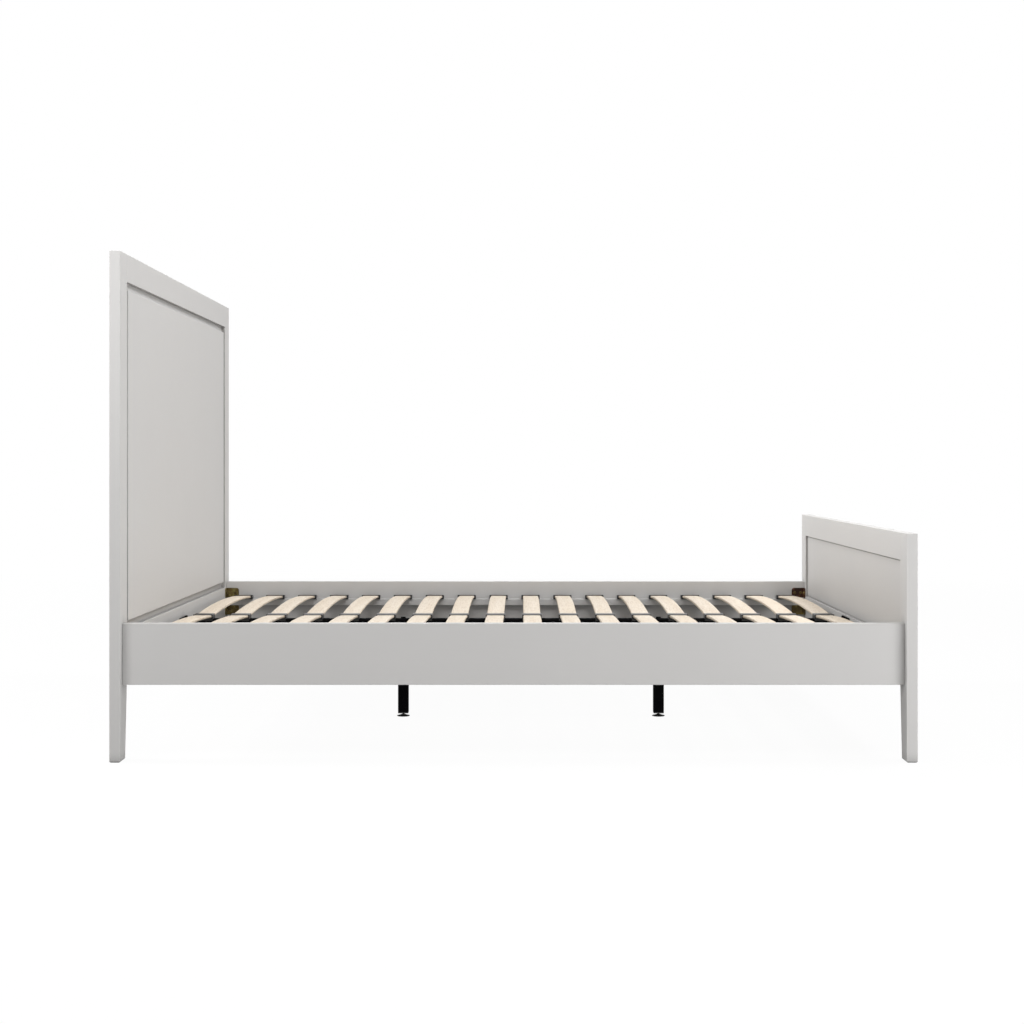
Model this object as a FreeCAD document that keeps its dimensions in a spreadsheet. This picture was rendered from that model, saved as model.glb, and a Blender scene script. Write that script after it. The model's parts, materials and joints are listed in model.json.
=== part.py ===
import FreeCAD, Part
import math
import os

import Sketcher

# A panelled bed frame with a slatted deck. X runs from the headboard to the footboard, Y across
# the bed and Z up, from the middle of the bed at floor level. Right is +Y, as seen from the foot.

# Driving sizes in millimetres
SIZES = {
    # Whole bed
    "clear_length": 2010,
    "bed_width": 1610,
    "headboard_height": 1309,
    "footboard_height": 586,
    "rail_clearance": 196,
    # Boards: posts, rails and their joints
    "frame_thickness": 28,
    "post_width": 76,
    "post_foot_width": 56,
    "top_rail_width": 72,
    "head_lower_rail_width": 139,
    "foot_lower_rail_width": 109,
    "tenon_length": 30,
    "tenon_thickness": 10,
    "tenon_shoulder": 12,
    "joint_clearance": 0.2,
    "arris": 0.7,
    "foot_chamfer": 3,
    # Panels and the grooves that hold them
    "groove_depth": 8,
    "head_channel_width": 20,
    "head_channel_depth": 12,
    "head_field_setback": 1.4,
    "head_tongue": 8,
    "foot_channel_width": 3,
    "foot_channel_depth": 8,
    "foot_field_setback": 7,
    "foot_tongue": 12,
    # Side rails and the cleats that carry the slats
    "side_rail_thickness": 25,
    "side_rail_height": 158,
    "side_rail_inset": 25,
    "cleat_width": 25,
    "cleat_height": 21,
    "deck_drop": 59,
    # Centre rail and its hangers
    "centre_rail_width": 40,
    "centre_rail_height": 40,
    "centre_rail_wall": 2,
    "centre_rail_corner": 4,
    "centre_rail_end_gap": 3,
    "hanger_thickness": 3,
    "hanger_plate_width": 130,
    "hanger_plate_height": 60,
    "hanger_plate_rise": 5,
    "hanger_corner": 15,
    "hanger_lap": 45,
    "hanger_cheek_height": 28,
    "hanger_clearance": 0.3,
    "hanger_screw_margin": 22,
    # Centre legs and levelling feet
    "leg_tube": 31,
    "leg_offset": 3,
    "leg_tube_wall": 1.5,
    "leg_tube_corner": 2,
    "plug_flange": 3,
    "plug_depth": 22,
    "plug_clearance": 0.2,
    "leg_bolt_diameter": 8,
    "leg_bolt_head": 13,
    "leg_bolt_head_height": 5,
    "leg_bolt_length": 60,
    "bolt_clearance": 0.25,
    "thread_clearance": 0.1,
    "leveller_diameter": 38,
    "leveller_rim": 2,
    "leveller_height": 5,
    "leveller_boss": 16,
    "leveller_gap": 4.5,
    "leveller_stud": 8,
    "leveller_stud_length": 40,
    # Slats
    "slat_first_gap": 64,
    "slat_last_gap": 69.2,
    "slat_width": 53,
    "slat_thickness": 8,
    "slat_crown": 11.5,
    # Slat holders
    "holder_wall": 2,
    "holder_side_wall": 4.5,
    "holder_length": 28,
    "holder_rail_gap": 4,
    "holder_clearance": 0.3,
    "centre_holder_overhang": 2,
    "centre_holder_lip": 6,
    # Corner brackets and their screws
    "bracket_thickness": 3,
    "bracket_height": 33,
    "bracket_rail_flange": 44,
    "bracket_post_flange": 25,
    "bracket_corner": 8,
    "bracket_gap_above": 4,
    "bracket_gap_below": 1,
    "bracket_first_screw": 14,
    "bracket_second_screw": 34,
    "bracket_post_screw": 12,
    "screw_diameter": 5,
    "screw_length": 20,
    "screw_head": 8,
    "screw_head_height": 3,
    "screw_clearance": 0.25,
    "cut_overrun": 5,
}

# Counts: slats along the bed, and how many of them lie before each centre leg
COUNTS = {
    "slat_count": 18,
    "head_leg_slats": 6,
    "foot_leg_slats": 13,
}

# Screws and bolts have hexagon heads. Their hidden shanks and holes have as few sides.
HEXAGON = 6

# Two directions are taken as one above this share of a full match
SAME_DIRECTION_SHARE = 0.99

HEAD, FOOT = -1, 1
LEFT, RIGHT = -1, 1
END_NAMES = {HEAD: "headboard", FOOT: "footboard"}
LEG_NAMES = {HEAD: "head", FOOT: "foot"}
SIDE_NAMES = {LEFT: "left", RIGHT: "right"}

# Places worked out from the sizes, written as formulas
BOARD_FACE = "(dim.clear_length / 2)"
POST_EDGE = "(dim.bed_width / 2 - dim.post_width)"
RAIL_OUTSIDE = "(dim.bed_width / 2 - dim.side_rail_inset)"
RAIL_FACE = "(dim.bed_width / 2 - dim.side_rail_inset - dim.side_rail_thickness)"
RAIL_TOP = "(dim.rail_clearance + dim.side_rail_height)"
DECK = f"({RAIL_TOP} - dim.deck_drop)"
CLEAT_BOTTOM = f"({DECK} - dim.cleat_height)"
CENTRE_RAIL_BOTTOM = f"({DECK} - dim.centre_rail_height)"
CENTRE_RAIL_HALF = f"({BOARD_FACE} - dim.hanger_thickness - dim.centre_rail_end_gap)"

# Boards. Tenons and panels lie at these depths behind the bed side of a board.
BOARD_HEIGHT = {HEAD: "dim.headboard_height", FOOT: "dim.footboard_height"}
LOWER_RAIL_WIDTH = {HEAD: "dim.head_lower_rail_width", FOOT: "dim.foot_lower_rail_width"}
CHANNEL_WIDTH = {HEAD: "dim.head_channel_width", FOOT: "dim.foot_channel_width"}
CHANNEL_DEPTH = {HEAD: "dim.head_channel_depth", FOOT: "dim.foot_channel_depth"}
FIELD_SETBACK = {HEAD: "dim.head_field_setback", FOOT: "dim.foot_field_setback"}
TONGUE = {HEAD: "dim.head_tongue", FOOT: "dim.foot_tongue"}
TONGUE_MIDDLE = {end: f"({CHANNEL_DEPTH[end]} + {TONGUE[end]} / 2)" for end in (HEAD, FOOT)}
TENON_MIDDLE = "(dim.frame_thickness / 2)"

# Slats: pitch, first place, and the chord between a holder's end wall and the centre web
SLAT_PITCH = "((dim.clear_length - dim.slat_first_gap - dim.slat_last_gap) / (dim.slat_count - 1))"
FIRST_SLAT = f"(dim.slat_first_gap - {BOARD_FACE})"
HOLDER_OUTER = f"({RAIL_FACE} - dim.holder_rail_gap)"
SLAT_OUTER = f"({HOLDER_OUTER} - dim.holder_wall - dim.holder_clearance)"
SLAT_INNER = "(dim.holder_wall / 2 + dim.holder_clearance)"
SLAT_CHORD = f"({SLAT_OUTER} - {SLAT_INNER})"
SLAT_RADIUS = f"(({SLAT_CHORD}^2 / 4 + dim.slat_crown^2) / (2 * dim.slat_crown))"
SLAT_BOTTOM = f"({DECK} + dim.holder_wall + dim.holder_clearance)"
SLAT_SLOPE = f"(4 * dim.slat_crown / {SLAT_CHORD})"
HOLDER_WIDTH = "(dim.slat_width + 2 * (dim.holder_clearance + dim.holder_side_wall))"
POCKET_WIDTH = "(dim.slat_width + 2 * dim.holder_clearance)"
HOLDER_END_HEIGHT = "(dim.slat_thickness + 2 * (dim.holder_clearance + dim.holder_wall))"
CENTRE_HOLDER_HALF = "(dim.centre_rail_width / 2 + dim.centre_holder_overhang)"

# Centre legs stand near the middle between two slats, a little towards the headboard
LEG_PLACE = {
    HEAD: f"({FIRST_SLAT} + (dim.head_leg_slats - 1 / 2) * {SLAT_PITCH} - dim.leg_offset)",
    FOOT: f"({FIRST_SLAT} + (dim.foot_leg_slats - 1 / 2) * {SLAT_PITCH} - dim.leg_offset)",
}
LEG_SPACING = f"((dim.foot_leg_slats - dim.head_leg_slats) * {SLAT_PITCH})"
LEG_BOTTOM = "(dim.leveller_height + dim.leveller_gap)"
TUBE_BOTTOM = f"({LEG_BOTTOM} + dim.plug_flange)"
TUBE_TOP = f"({CENTRE_RAIL_BOTTOM} - dim.plug_flange)"
TUBE_BORE = "(dim.leg_tube - 2 * dim.leg_tube_wall)"

# Corner brackets: the upper one sits over the cleat, the lower one under it
UPPER_BRACKET = f"({DECK} + dim.bracket_gap_above + dim.bracket_height / 2)"
LOWER_BRACKET = f"({CLEAT_BOTTOM} - dim.bracket_gap_below - dim.bracket_height / 2)"
BRACKET_SPACING = f"({UPPER_BRACKET} - {LOWER_BRACKET})"
SCREW_SPACING = "(dim.bracket_second_screw - dim.bracket_first_screw)"
POST_SCREW = f"({RAIL_FACE} - dim.bracket_post_screw)"
SCREW_DEPTH = "(dim.screw_length - dim.bracket_thickness + dim.screw_clearance)"
SCREW_HOLE = "(dim.screw_diameter + 2 * dim.screw_clearance)"
HANGER_TOP = f"({DECK} + dim.hanger_plate_rise)"
HANGER_MIDDLE = f"({HANGER_TOP} - dim.hanger_plate_height / 2)"
HANGER_SCREW = "(dim.hanger_plate_width / 2 - dim.hanger_screw_margin)"

doc = FreeCAD.newDocument("panelled_bed")
dim = doc.addObject("Spreadsheet::Sheet", "dim")
for row, (alias, number) in enumerate({**SIZES, **COUNTS}.items(), start=1):
    dim.set(f"A{row}", alias)
    dim.set(f"B{row}", str(number))
    dim.setAlias(f"B{row}", alias)
doc.recompute()

nodes = []


# Drawing and shaping helpers

def value(formula):
    """The present value of a formula."""
    return float(dim.evalExpression(formula))


def new_body(label):
    """A new body for one piece."""
    piece = doc.addObject("PartDesign::Body", label)
    piece.Label = label
    return piece


def keep(node, label=None):
    """Names a finished piece and lists it among the nodes that are written."""
    if label:
        node.Label = label
    nodes.append(node)
    return node


def place(piece, x="0", y="0", z="0"):
    """Ties a piece's position to formulas."""
    for axis, formula in zip("xyz", (x, y, z)):
        piece.setExpression(f"Placement.Base.{axis}", formula)


def origin_part(piece, role):
    """One of the planes or axes of a body's own origin."""
    return next(part for part in piece.Origin.OriginFeatures if part.Role == role)


def rectangle(left, right, low, high):
    """The four corners of a rectangle, as formulas."""
    return [(left, low), (right, low), (right, high), (left, high)]


def centred(width, low, high):
    """A rectangle that is centred sideways."""
    return rectangle(f"-({width}) / 2", f"({width}) / 2", low, high)


def hexagon(x, y, across):
    """A hexagon about a point, with its size across the flats."""
    corner = f"(({across}) / 2 / cos({180 / HEXAGON} deg))"
    turns = [360 * number / HEXAGON for number in range(HEXAGON)]
    return [
        (f"({x}) + {corner} * cos({turn} deg)", f"({y}) + {corner} * sin({turn} deg)")
        for turn in turns
    ]


def hold(sketch, kind, corner, formula):
    """Holds a sketch point at a formula's distance from the origin."""
    number = sketch.addConstraint(Sketcher.Constraint(kind, -1, 1, *corner, value(formula)))
    sketch.setExpression(f"Constraints[{number}]", formula)


def draw_outline(sketch, corners):
    """Draws a closed outline of straight lines through the corners."""
    points = [FreeCAD.Vector(value(x), value(y), 0) for x, y in corners]
    first = sketch.GeometryCount
    for start, end in zip(points, points[1:] + points[:1]):
        sketch.addGeometry(Part.LineSegment(start, end))
    for number, (x, y) in enumerate(corners):
        line = first + number
        line_before = first + (number - 1) % len(corners)
        sketch.addConstraint(Sketcher.Constraint("Coincident", line_before, 2, line, 1))
        hold(sketch, "DistanceX", (line, 1), x)
        hold(sketch, "DistanceY", (line, 1), y)


def draw_circle(sketch, x, y, diameter):
    """Draws a circle about a point."""
    radius = f"({diameter}) / 2"
    middle = FreeCAD.Vector(value(x), value(y), 0)
    circle = sketch.addGeometry(Part.Circle(middle, FreeCAD.Vector(0, 0, 1), value(radius)))
    hold(sketch, "DistanceX", (circle, 3), x)
    hold(sketch, "DistanceY", (circle, 3), y)
    number = sketch.addConstraint(Sketcher.Constraint("Radius", circle, value(radius)))
    sketch.setExpression(f"Constraints[{number}]", radius)


def new_sketch(piece, role, middle):
    """A sketch on one of the body's planes, moved along its normal to a formula's place."""
    sketch = piece.newObject("Sketcher::SketchObject", "outline")
    sketch.AttachmentSupport = [(origin_part(piece, role), "")]
    sketch.MapMode = "FlatFace"
    towards = -1 if role == "XZ_Plane" else 1
    sketch.setExpression("AttachmentOffset.Base.z", f"{towards} * ({middle})")
    return sketch


def extrude(piece, kind, role, loops, circles, middle, thickness):
    """A pad or pocket that reaches equally to both sides of its sketch."""
    sketch = new_sketch(piece, role, middle)
    for corners in loops:
        draw_outline(sketch, corners)
    for circle in circles:
        draw_circle(sketch, *circle)
    feature = piece.newObject(f"PartDesign::{kind}", kind.lower())
    feature.Profile = sketch
    feature.SideType = "Symmetric"
    feature.setExpression("Length", thickness)
    doc.recompute()
    return feature


def slab(piece, role, middle, thickness, *loops, circles=()):
    """Adds a slab of even thickness about a middle plane."""
    return extrude(piece, "Pad", role, loops, circles, middle, thickness)


def slot(piece, role, middle, thickness, *loops, circles=()):
    """Cuts a slot of even thickness about a middle plane, and makes sure that it cuts."""
    before = piece.Shape.Volume
    feature = extrude(piece, "Pocket", role, loops, circles, middle, thickness)
    if not piece.Shape.Volume < before:
        raise RuntimeError(f"a cut in {piece.Label} removes nothing")
    return feature


def dress(piece, kind, size_name, formula, wanted):
    """Chamfers or rounds those edges of the body that pass a test."""
    base = piece.Tip
    names = [f"Edge{number}" for number, edge in enumerate(base.Shape.Edges, 1) if wanted(edge)]
    feature = piece.newObject(f"PartDesign::{kind}", kind.lower())
    feature.Base = (base, names)
    feature.setExpression(size_name, formula)
    doc.recompute()
    return feature


def chamfer(piece, formula, wanted):
    """A chamfer of even size along the wanted edges."""
    return dress(piece, "Chamfer", "Size", formula, wanted)


def fillet(piece, formula, wanted):
    """A rounding along the wanted edges."""
    return dress(piece, "Fillet", "Radius", formula, wanted)


def runs_along(edge, axis):
    """Whether a straight edge runs along an axis, given as x, y or z."""
    if not isinstance(edge.Curve, Part.Line):
        return False
    return abs(getattr(edge.Curve.Direction, axis)) > SAME_DIRECTION_SHARE


def lies_at(edge, axis, formula):
    """Whether all of an edge lies at a place along an axis."""
    wanted = value(formula)
    box = edge.BoundBox
    low, high = getattr(box, f"{axis.upper()}Min"), getattr(box, f"{axis.upper()}Max")
    slack = value("dim.arris") / 2
    return abs(low - wanted) < slack and abs(high - wanted) < slack


def reaches_over(edge, formula):
    """Whether an edge rises above a height."""
    return edge.BoundBox.ZMax > value(formula) + value("dim.arris") / 2


def repeat(piece, axis, spacing, count, axis_two=None, spacing_two="0", count_two="1"):
    """Repeats the whole body in a row, or in a grid of two directions."""
    row = piece.newObject("PartDesign::LinearPattern", "row")
    row.Originals = [piece.Tip]
    row.TransformMode = "Whole shape"
    row.Direction = (origin_part(piece, axis), [""])
    row.setExpression("Length", f"({spacing}) * (({count}) - 1)")
    row.setExpression("Occurrences", count)
    if axis_two:
        row.Direction2 = (origin_part(piece, axis_two), [""])
        row.setExpression("Length2", f"({spacing_two}) * (({count_two}) - 1)")
        row.setExpression("Occurrences2", count_two)
    piece.Tip = row
    doc.recompute()
    return row


def mirrored(source, label, normal):
    """A mirror image of a piece about a plane through the bed's middle."""
    image = doc.addObject("Part::Mirroring", label)
    image.Source = source
    image.Normal = normal
    image.Label = label
    return image


def group(label, pieces):
    """Several separate pieces under one name."""
    node = doc.addObject("Part::Compound", label)
    node.Links = pieces
    node.Label = label
    return node


# Headboard and footboard: two posts, two rails and a panel each

def post_screw_holes(side):
    """Where the bracket screws go into a post, and into the tenon inside it."""
    return [
        hexagon(f"{side} * {POST_SCREW}", height, SCREW_HOLE)
        for height in (UPPER_BRACKET, LOWER_BRACKET)
    ]


def post(end, side):
    """One post of a board. Its inner edge tapers below the side rail to make a leg."""
    piece = new_body(f"{END_NAMES[end]}_post_{SIDE_NAMES[side]}")
    height = BOARD_HEIGHT[end]
    outer = f"{side} * dim.bed_width / 2"
    inner = f"{side} * {POST_EDGE}"
    foot_inner = f"{side} * (dim.bed_width / 2 - dim.post_foot_width)"
    outline = [
        (outer, "0"),
        (outer, height),
        (inner, height),
        (inner, "dim.rail_clearance"),
        (foot_inner, "0"),
    ]
    slab(piece, "YZ_Plane", f"{end} * {TENON_MIDDLE}", "dim.frame_thickness", outline)
    chamfer(piece, "dim.foot_chamfer", lambda edge: lies_at(edge, "z", "0"))
    chamfer(piece, "dim.arris", lambda edge: reaches_over(edge, "dim.foot_chamfer"))

    clear = "dim.joint_clearance"
    mortise_end = f"{side} * ({POST_EDGE} + dim.tenon_length + {clear})"
    past_edge = f"{side} * ({POST_EDGE} - dim.cut_overrun)"
    lower_top = f"(dim.rail_clearance + {LOWER_RAIL_WIDTH[end]})"
    top_bottom = f"({height} - dim.top_rail_width)"
    lower_mortise = rectangle(
        past_edge, mortise_end,
        f"dim.rail_clearance + dim.tenon_shoulder - {clear}",
        f"{lower_top} - dim.tenon_shoulder + {clear}",
    )
    top_mortise = rectangle(
        past_edge, mortise_end,
        f"{top_bottom} + dim.tenon_shoulder - {clear}",
        f"{height} - dim.tenon_shoulder + {clear}",
    )
    slot(
        piece, "YZ_Plane", f"{end} * {TENON_MIDDLE}", f"dim.tenon_thickness + 2 * {clear}",
        lower_mortise, top_mortise,
    )
    groove = rectangle(
        past_edge, f"{side} * ({POST_EDGE} + dim.groove_depth)",
        f"{lower_top} - dim.groove_depth", f"{top_bottom} + dim.groove_depth",
    )
    slot(piece, "YZ_Plane", f"{end} * {TONGUE_MIDDLE[end]}", f"{TONGUE[end]} + 2 * {clear}", groove)
    slot(piece, "YZ_Plane", "0", f"2 * {SCREW_DEPTH}", *post_screw_holes(side))
    place(piece, x=f"{end} * {BOARD_FACE}")
    return keep(piece)


def board_rail(end, name, low, high, groove_low, groove_high, screw_holes=()):
    """A rail between two posts, with a tenon at each end and a groove for the panel."""
    piece = new_body(f"{END_NAMES[end]}_{name}")
    shoulder = f"2 * {POST_EDGE}"
    slab(
        piece, "YZ_Plane", f"{end} * {TENON_MIDDLE}", "dim.frame_thickness",
        centred(shoulder, low, high),
    )
    chamfer(piece, "dim.arris", lambda edge: True)
    tenon = centred(
        f"{shoulder} + 2 * dim.tenon_length",
        f"{low} + dim.tenon_shoulder", f"{high} - dim.tenon_shoulder",
    )
    slab(piece, "YZ_Plane", f"{end} * {TENON_MIDDLE}", "dim.tenon_thickness", tenon)
    slot(
        piece, "YZ_Plane", f"{end} * {TONGUE_MIDDLE[end]}",
        f"{TONGUE[end]} + 2 * dim.joint_clearance",
        centred(f"{shoulder} + 2 * (dim.tenon_length + dim.cut_overrun)", groove_low, groove_high),
    )
    for hole in screw_holes:
        slot(piece, "YZ_Plane", "0", f"2 * {SCREW_DEPTH}", hole)
    place(piece, x=f"{end} * {BOARD_FACE}")
    return keep(piece)


def hanger_screw_holes():
    """Where the screws of a centre rail hanger go into a board's bottom rail."""
    return [
        hexagon(f"{side} * {HANGER_SCREW}", HANGER_MIDDLE, SCREW_HOLE)
        for side in (LEFT, RIGHT)
    ]


def board_rails(end):
    """The top and bottom rails of a board."""
    bottom = "dim.rail_clearance"
    lower_top = f"({bottom} + {LOWER_RAIL_WIDTH[end]})"
    height = BOARD_HEIGHT[end]
    top_bottom = f"({height} - dim.top_rail_width)"
    holes = hanger_screw_holes()
    for side in (LEFT, RIGHT):
        lower, upper = f"({bottom} + dim.tenon_shoulder)", f"({lower_top} - dim.tenon_shoulder)"
        holes += [
            hole for height, hole in zip((UPPER_BRACKET, LOWER_BRACKET), post_screw_holes(side))
            if value(lower) < value(height) < value(upper)
        ]
    board_rail(
        end, "bottom_rail", bottom, lower_top,
        f"{lower_top} - dim.groove_depth", f"{lower_top} + dim.cut_overrun", holes,
    )
    board_rail(
        end, "top_rail", top_bottom, height,
        f"{top_bottom} - dim.cut_overrun", f"{top_bottom} + dim.groove_depth",
    )


def panel(end):
    """A board's panel: a tongue in the frame's groove, and a raised field with a channel round it."""
    piece = new_body(f"{END_NAMES[end]}_panel")
    low = f"(dim.rail_clearance + {LOWER_RAIL_WIDTH[end]})"
    high = f"({BOARD_HEIGHT[end]} - dim.top_rail_width)"
    seat = "(dim.groove_depth - dim.joint_clearance)"
    slab(
        piece, "YZ_Plane", f"{end} * {TONGUE_MIDDLE[end]}", TONGUE[end],
        centred(f"2 * ({POST_EDGE} + {seat})", f"{low} - {seat}", f"{high} + {seat}"),
    )
    back = f"({CHANNEL_DEPTH[end]} + {TONGUE[end]})"
    margin = CHANNEL_WIDTH[end]
    field = centred(f"2 * ({POST_EDGE} - {margin})", f"{low} + {margin}", f"{high} - {margin}")
    slab(
        piece, "YZ_Plane", f"{end} * ({FIELD_SETBACK[end]} + {back}) / 2",
        f"{back} - {FIELD_SETBACK[end]}", field,
    )
    field_face = f"{end} * {FIELD_SETBACK[end]}"
    chamfer(piece, "dim.arris", lambda edge: lies_at(edge, "x", field_face))
    place(piece, x=f"{end} * {BOARD_FACE}")
    return keep(piece)


# Side rails and slat cleats

def bracket_screw_x(end, name):
    """How far along the bed a bracket's screw in the side rail lies."""
    return f"{end} * ({BOARD_FACE} - dim.{name})"


def side_rail(side):
    """A side rail between the posts, with pilot holes for the corner brackets."""
    piece = new_body(f"side_rail_{SIDE_NAMES[side]}")
    middle = f"{side} * ({RAIL_OUTSIDE} - dim.side_rail_thickness / 2)"
    slab(
        piece, "XZ_Plane", middle, "dim.side_rail_thickness",
        centred("dim.clear_length", "dim.rail_clearance", RAIL_TOP),
    )
    chamfer(piece, "dim.arris", lambda edge: True)
    holes = [
        hexagon(bracket_screw_x(end, name), height, SCREW_HOLE)
        for end in (HEAD, FOOT)
        for name in ("bracket_first_screw", "bracket_second_screw")
        for height in (UPPER_BRACKET, LOWER_BRACKET)
    ]
    slot(piece, "XZ_Plane", f"{side} * {RAIL_FACE}", f"2 * {SCREW_DEPTH}", *holes)
    return keep(piece)


def slat_cleat(side):
    """The batten on the inside of a side rail that carries the slat holders."""
    piece = new_body(f"slat_cleat_{SIDE_NAMES[side]}")
    slab(
        piece, "XZ_Plane", f"{side} * ({RAIL_FACE} - dim.cleat_width / 2)", "dim.cleat_width",
        centred("dim.clear_length", CLEAT_BOTTOM, DECK),
    )
    inner_face = f"{side} * ({RAIL_FACE} - dim.cleat_width)"
    chamfer(
        piece, "dim.arris",
        lambda edge: runs_along(edge, "x") and lies_at(edge, "y", inner_face),
    )
    return keep(piece)


# Corner brackets

def corner_brackets(end, side):
    """The upper and lower angle brackets in one corner."""
    piece = new_body(f"corner_brackets_{LEG_NAMES[end]}_{SIDE_NAMES[side]}")

    def along(formula):
        return f"{-end} * ({formula})"

    def across(formula):
        return f"{-side} * ({formula})"

    thickness = "dim.bracket_thickness"
    rail_flange = "dim.bracket_rail_flange"
    post_flange = "dim.bracket_post_flange"
    outline = [
        ("0", "0"),
        (along(rail_flange), "0"),
        (along(rail_flange), across(thickness)),
        (along(thickness), across(thickness)),
        (along(thickness), across(post_flange)),
        ("0", across(post_flange)),
    ]
    slab(piece, "XY_Plane", "0", "dim.bracket_height", outline)
    fillet(
        piece, "dim.bracket_corner",
        lambda edge: (runs_along(edge, "y") and lies_at(edge, "x", along(rail_flange)))
        or (runs_along(edge, "x") and lies_at(edge, "y", across(post_flange))),
    )
    slot(
        piece, "XZ_Plane", "0", f"2 * ({thickness} + dim.cut_overrun)",
        hexagon(along("dim.bracket_first_screw"), "0", SCREW_HOLE),
        hexagon(along("dim.bracket_second_screw"), "0", SCREW_HOLE),
    )
    slot(
        piece, "YZ_Plane", "0", f"2 * ({thickness} + dim.cut_overrun)",
        hexagon(across("dim.bracket_post_screw"), "0", SCREW_HOLE),
    )
    repeat(piece, "Z_Axis", BRACKET_SPACING, "2")
    place(piece, f"{end} * {BOARD_FACE}", f"{side} * {RAIL_FACE}", LOWER_BRACKET)
    return keep(piece)


def screw(label, role, inwards, thickness):
    """A hexagon head screw that goes through a plate of this thickness and into the wood."""
    piece = new_body(label)
    head_middle = f"{inwards} * (({thickness}) + dim.screw_head_height / 2)"
    shank_middle = f"{inwards} * (({thickness}) - dim.screw_length / 2)"
    slab(piece, role, head_middle, "dim.screw_head_height", hexagon("0", "0", "dim.screw_head"))
    slab(piece, role, shank_middle, "dim.screw_length", hexagon("0", "0", "dim.screw_diameter"))
    return piece


def bracket_screws():
    """All the screws of the corner brackets."""
    screws = []
    for end in (HEAD, FOOT):
        for side in (LEFT, RIGHT):
            name = f"{LEG_NAMES[end]}_{SIDE_NAMES[side]}"
            in_rail = screw(f"rail_screws_{name}", "XZ_Plane", -side, "dim.bracket_thickness")
            repeat(in_rail, "Z_Axis", BRACKET_SPACING, "2", "X_Axis", SCREW_SPACING, "2")
            start = "bracket_first_screw" if end == HEAD else "bracket_second_screw"
            place(in_rail, bracket_screw_x(end, start), f"{side} * {RAIL_FACE}", LOWER_BRACKET)
            in_post = screw(f"post_screws_{name}", "YZ_Plane", -end, "dim.bracket_thickness")
            repeat(in_post, "Z_Axis", BRACKET_SPACING, "2")
            place(in_post, f"{end} * {BOARD_FACE}", f"{side} * {POST_SCREW}", LOWER_BRACKET)
            screws += [in_rail, in_post]
    return keep(group("bracket_screws", screws))


# Centre rail, its hangers and its legs

def centre_rail():
    """A square steel tube under the middle of the slats."""
    piece = new_body("centre_rail")
    wall = "dim.centre_rail_wall"
    slab(
        piece, "YZ_Plane", "0", f"2 * {CENTRE_RAIL_HALF}",
        centred("dim.centre_rail_width", CENTRE_RAIL_BOTTOM, DECK),
    )
    fillet(piece, "dim.centre_rail_corner", lambda edge: runs_along(edge, "x"))
    slot(
        piece, "YZ_Plane", "0", f"2 * ({CENTRE_RAIL_HALF} + dim.cut_overrun)",
        centred(
            f"dim.centre_rail_width - 2 * {wall}",
            f"{CENTRE_RAIL_BOTTOM} + {wall}", f"{DECK} - {wall}",
        ),
    )
    hole = "dim.leg_bolt_diameter + 2 * dim.bolt_clearance"
    slot(
        piece, "XY_Plane", f"{DECK} - dim.centre_rail_height / 2",
        "dim.centre_rail_height + 2 * dim.cut_overrun",
        *[hexagon(LEG_PLACE[end], "0", hole) for end in (HEAD, FOOT)],
    )
    return keep(piece)


def centre_rail_hanger(end):
    """A plate on a board's bottom rail with a cradle that the centre rail drops into."""
    piece = new_body(f"centre_rail_hanger_{LEG_NAMES[end]}")
    thickness = "dim.hanger_thickness"
    slab(
        piece, "YZ_Plane", f"{-end} * {thickness} / 2", thickness,
        centred(
            "dim.hanger_plate_width",
            f"{HANGER_TOP} - dim.hanger_plate_height", HANGER_TOP,
        ),
    )
    fillet(piece, "dim.hanger_corner", lambda edge: runs_along(edge, "x"))
    inner = "(dim.centre_rail_width / 2 + dim.hanger_clearance)"
    outer = f"({inner} + {thickness})"
    cheek_top = f"({CENTRE_RAIL_BOTTOM} + dim.hanger_cheek_height)"
    cradle = [
        (f"-{outer}", f"{CENTRE_RAIL_BOTTOM} - {thickness}"),
        (outer, f"{CENTRE_RAIL_BOTTOM} - {thickness}"),
        (outer, cheek_top),
        (inner, cheek_top),
        (inner, CENTRE_RAIL_BOTTOM),
        (f"-{inner}", CENTRE_RAIL_BOTTOM),
        (f"-{inner}", cheek_top),
        (f"-{outer}", cheek_top),
    ]
    slab(
        piece, "YZ_Plane", f"{-end} * ({thickness} + dim.hanger_lap) / 2",
        f"{thickness} + dim.hanger_lap", cradle,
    )
    slot(
        piece, "YZ_Plane", "0", f"2 * ({thickness} + dim.cut_overrun)",
        *hanger_screw_holes(),
    )
    place(piece, x=f"{end} * {BOARD_FACE}")
    return keep(piece)


def hanger_screws():
    """Two screws in each hanger plate."""
    screws = []
    for end in (HEAD, FOOT):
        pair = screw(f"hanger_screws_{LEG_NAMES[end]}", "YZ_Plane", -end, "dim.hanger_thickness")
        repeat(pair, "Y_Axis", f"2 * {HANGER_SCREW}", "2")
        place(pair, f"{end} * {BOARD_FACE}", f"-{HANGER_SCREW}", HANGER_MIDDLE)
        screws.append(pair)
    return keep(group("hanger_screws", screws))


def centre_leg(end):
    """A square steel tube under the centre rail."""
    piece = new_body(f"centre_leg_{LEG_NAMES[end]}")
    half, bore = "dim.leg_tube / 2", f"{TUBE_BORE} / 2"
    middle = f"({TUBE_TOP} + {TUBE_BOTTOM}) / 2"
    slab(
        piece, "XY_Plane", middle, f"{TUBE_TOP} - {TUBE_BOTTOM}",
        rectangle(f"-{half}", half, f"-{half}", half),
    )
    fillet(piece, "dim.leg_tube_corner", lambda edge: runs_along(edge, "z"))
    slot(
        piece, "XY_Plane", middle, f"{TUBE_TOP} - {TUBE_BOTTOM} + 2 * dim.cut_overrun",
        rectangle(f"-{bore}", bore, f"-{bore}", bore),
    )
    place(piece, x=LEG_PLACE[end])
    return keep(piece)


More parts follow.
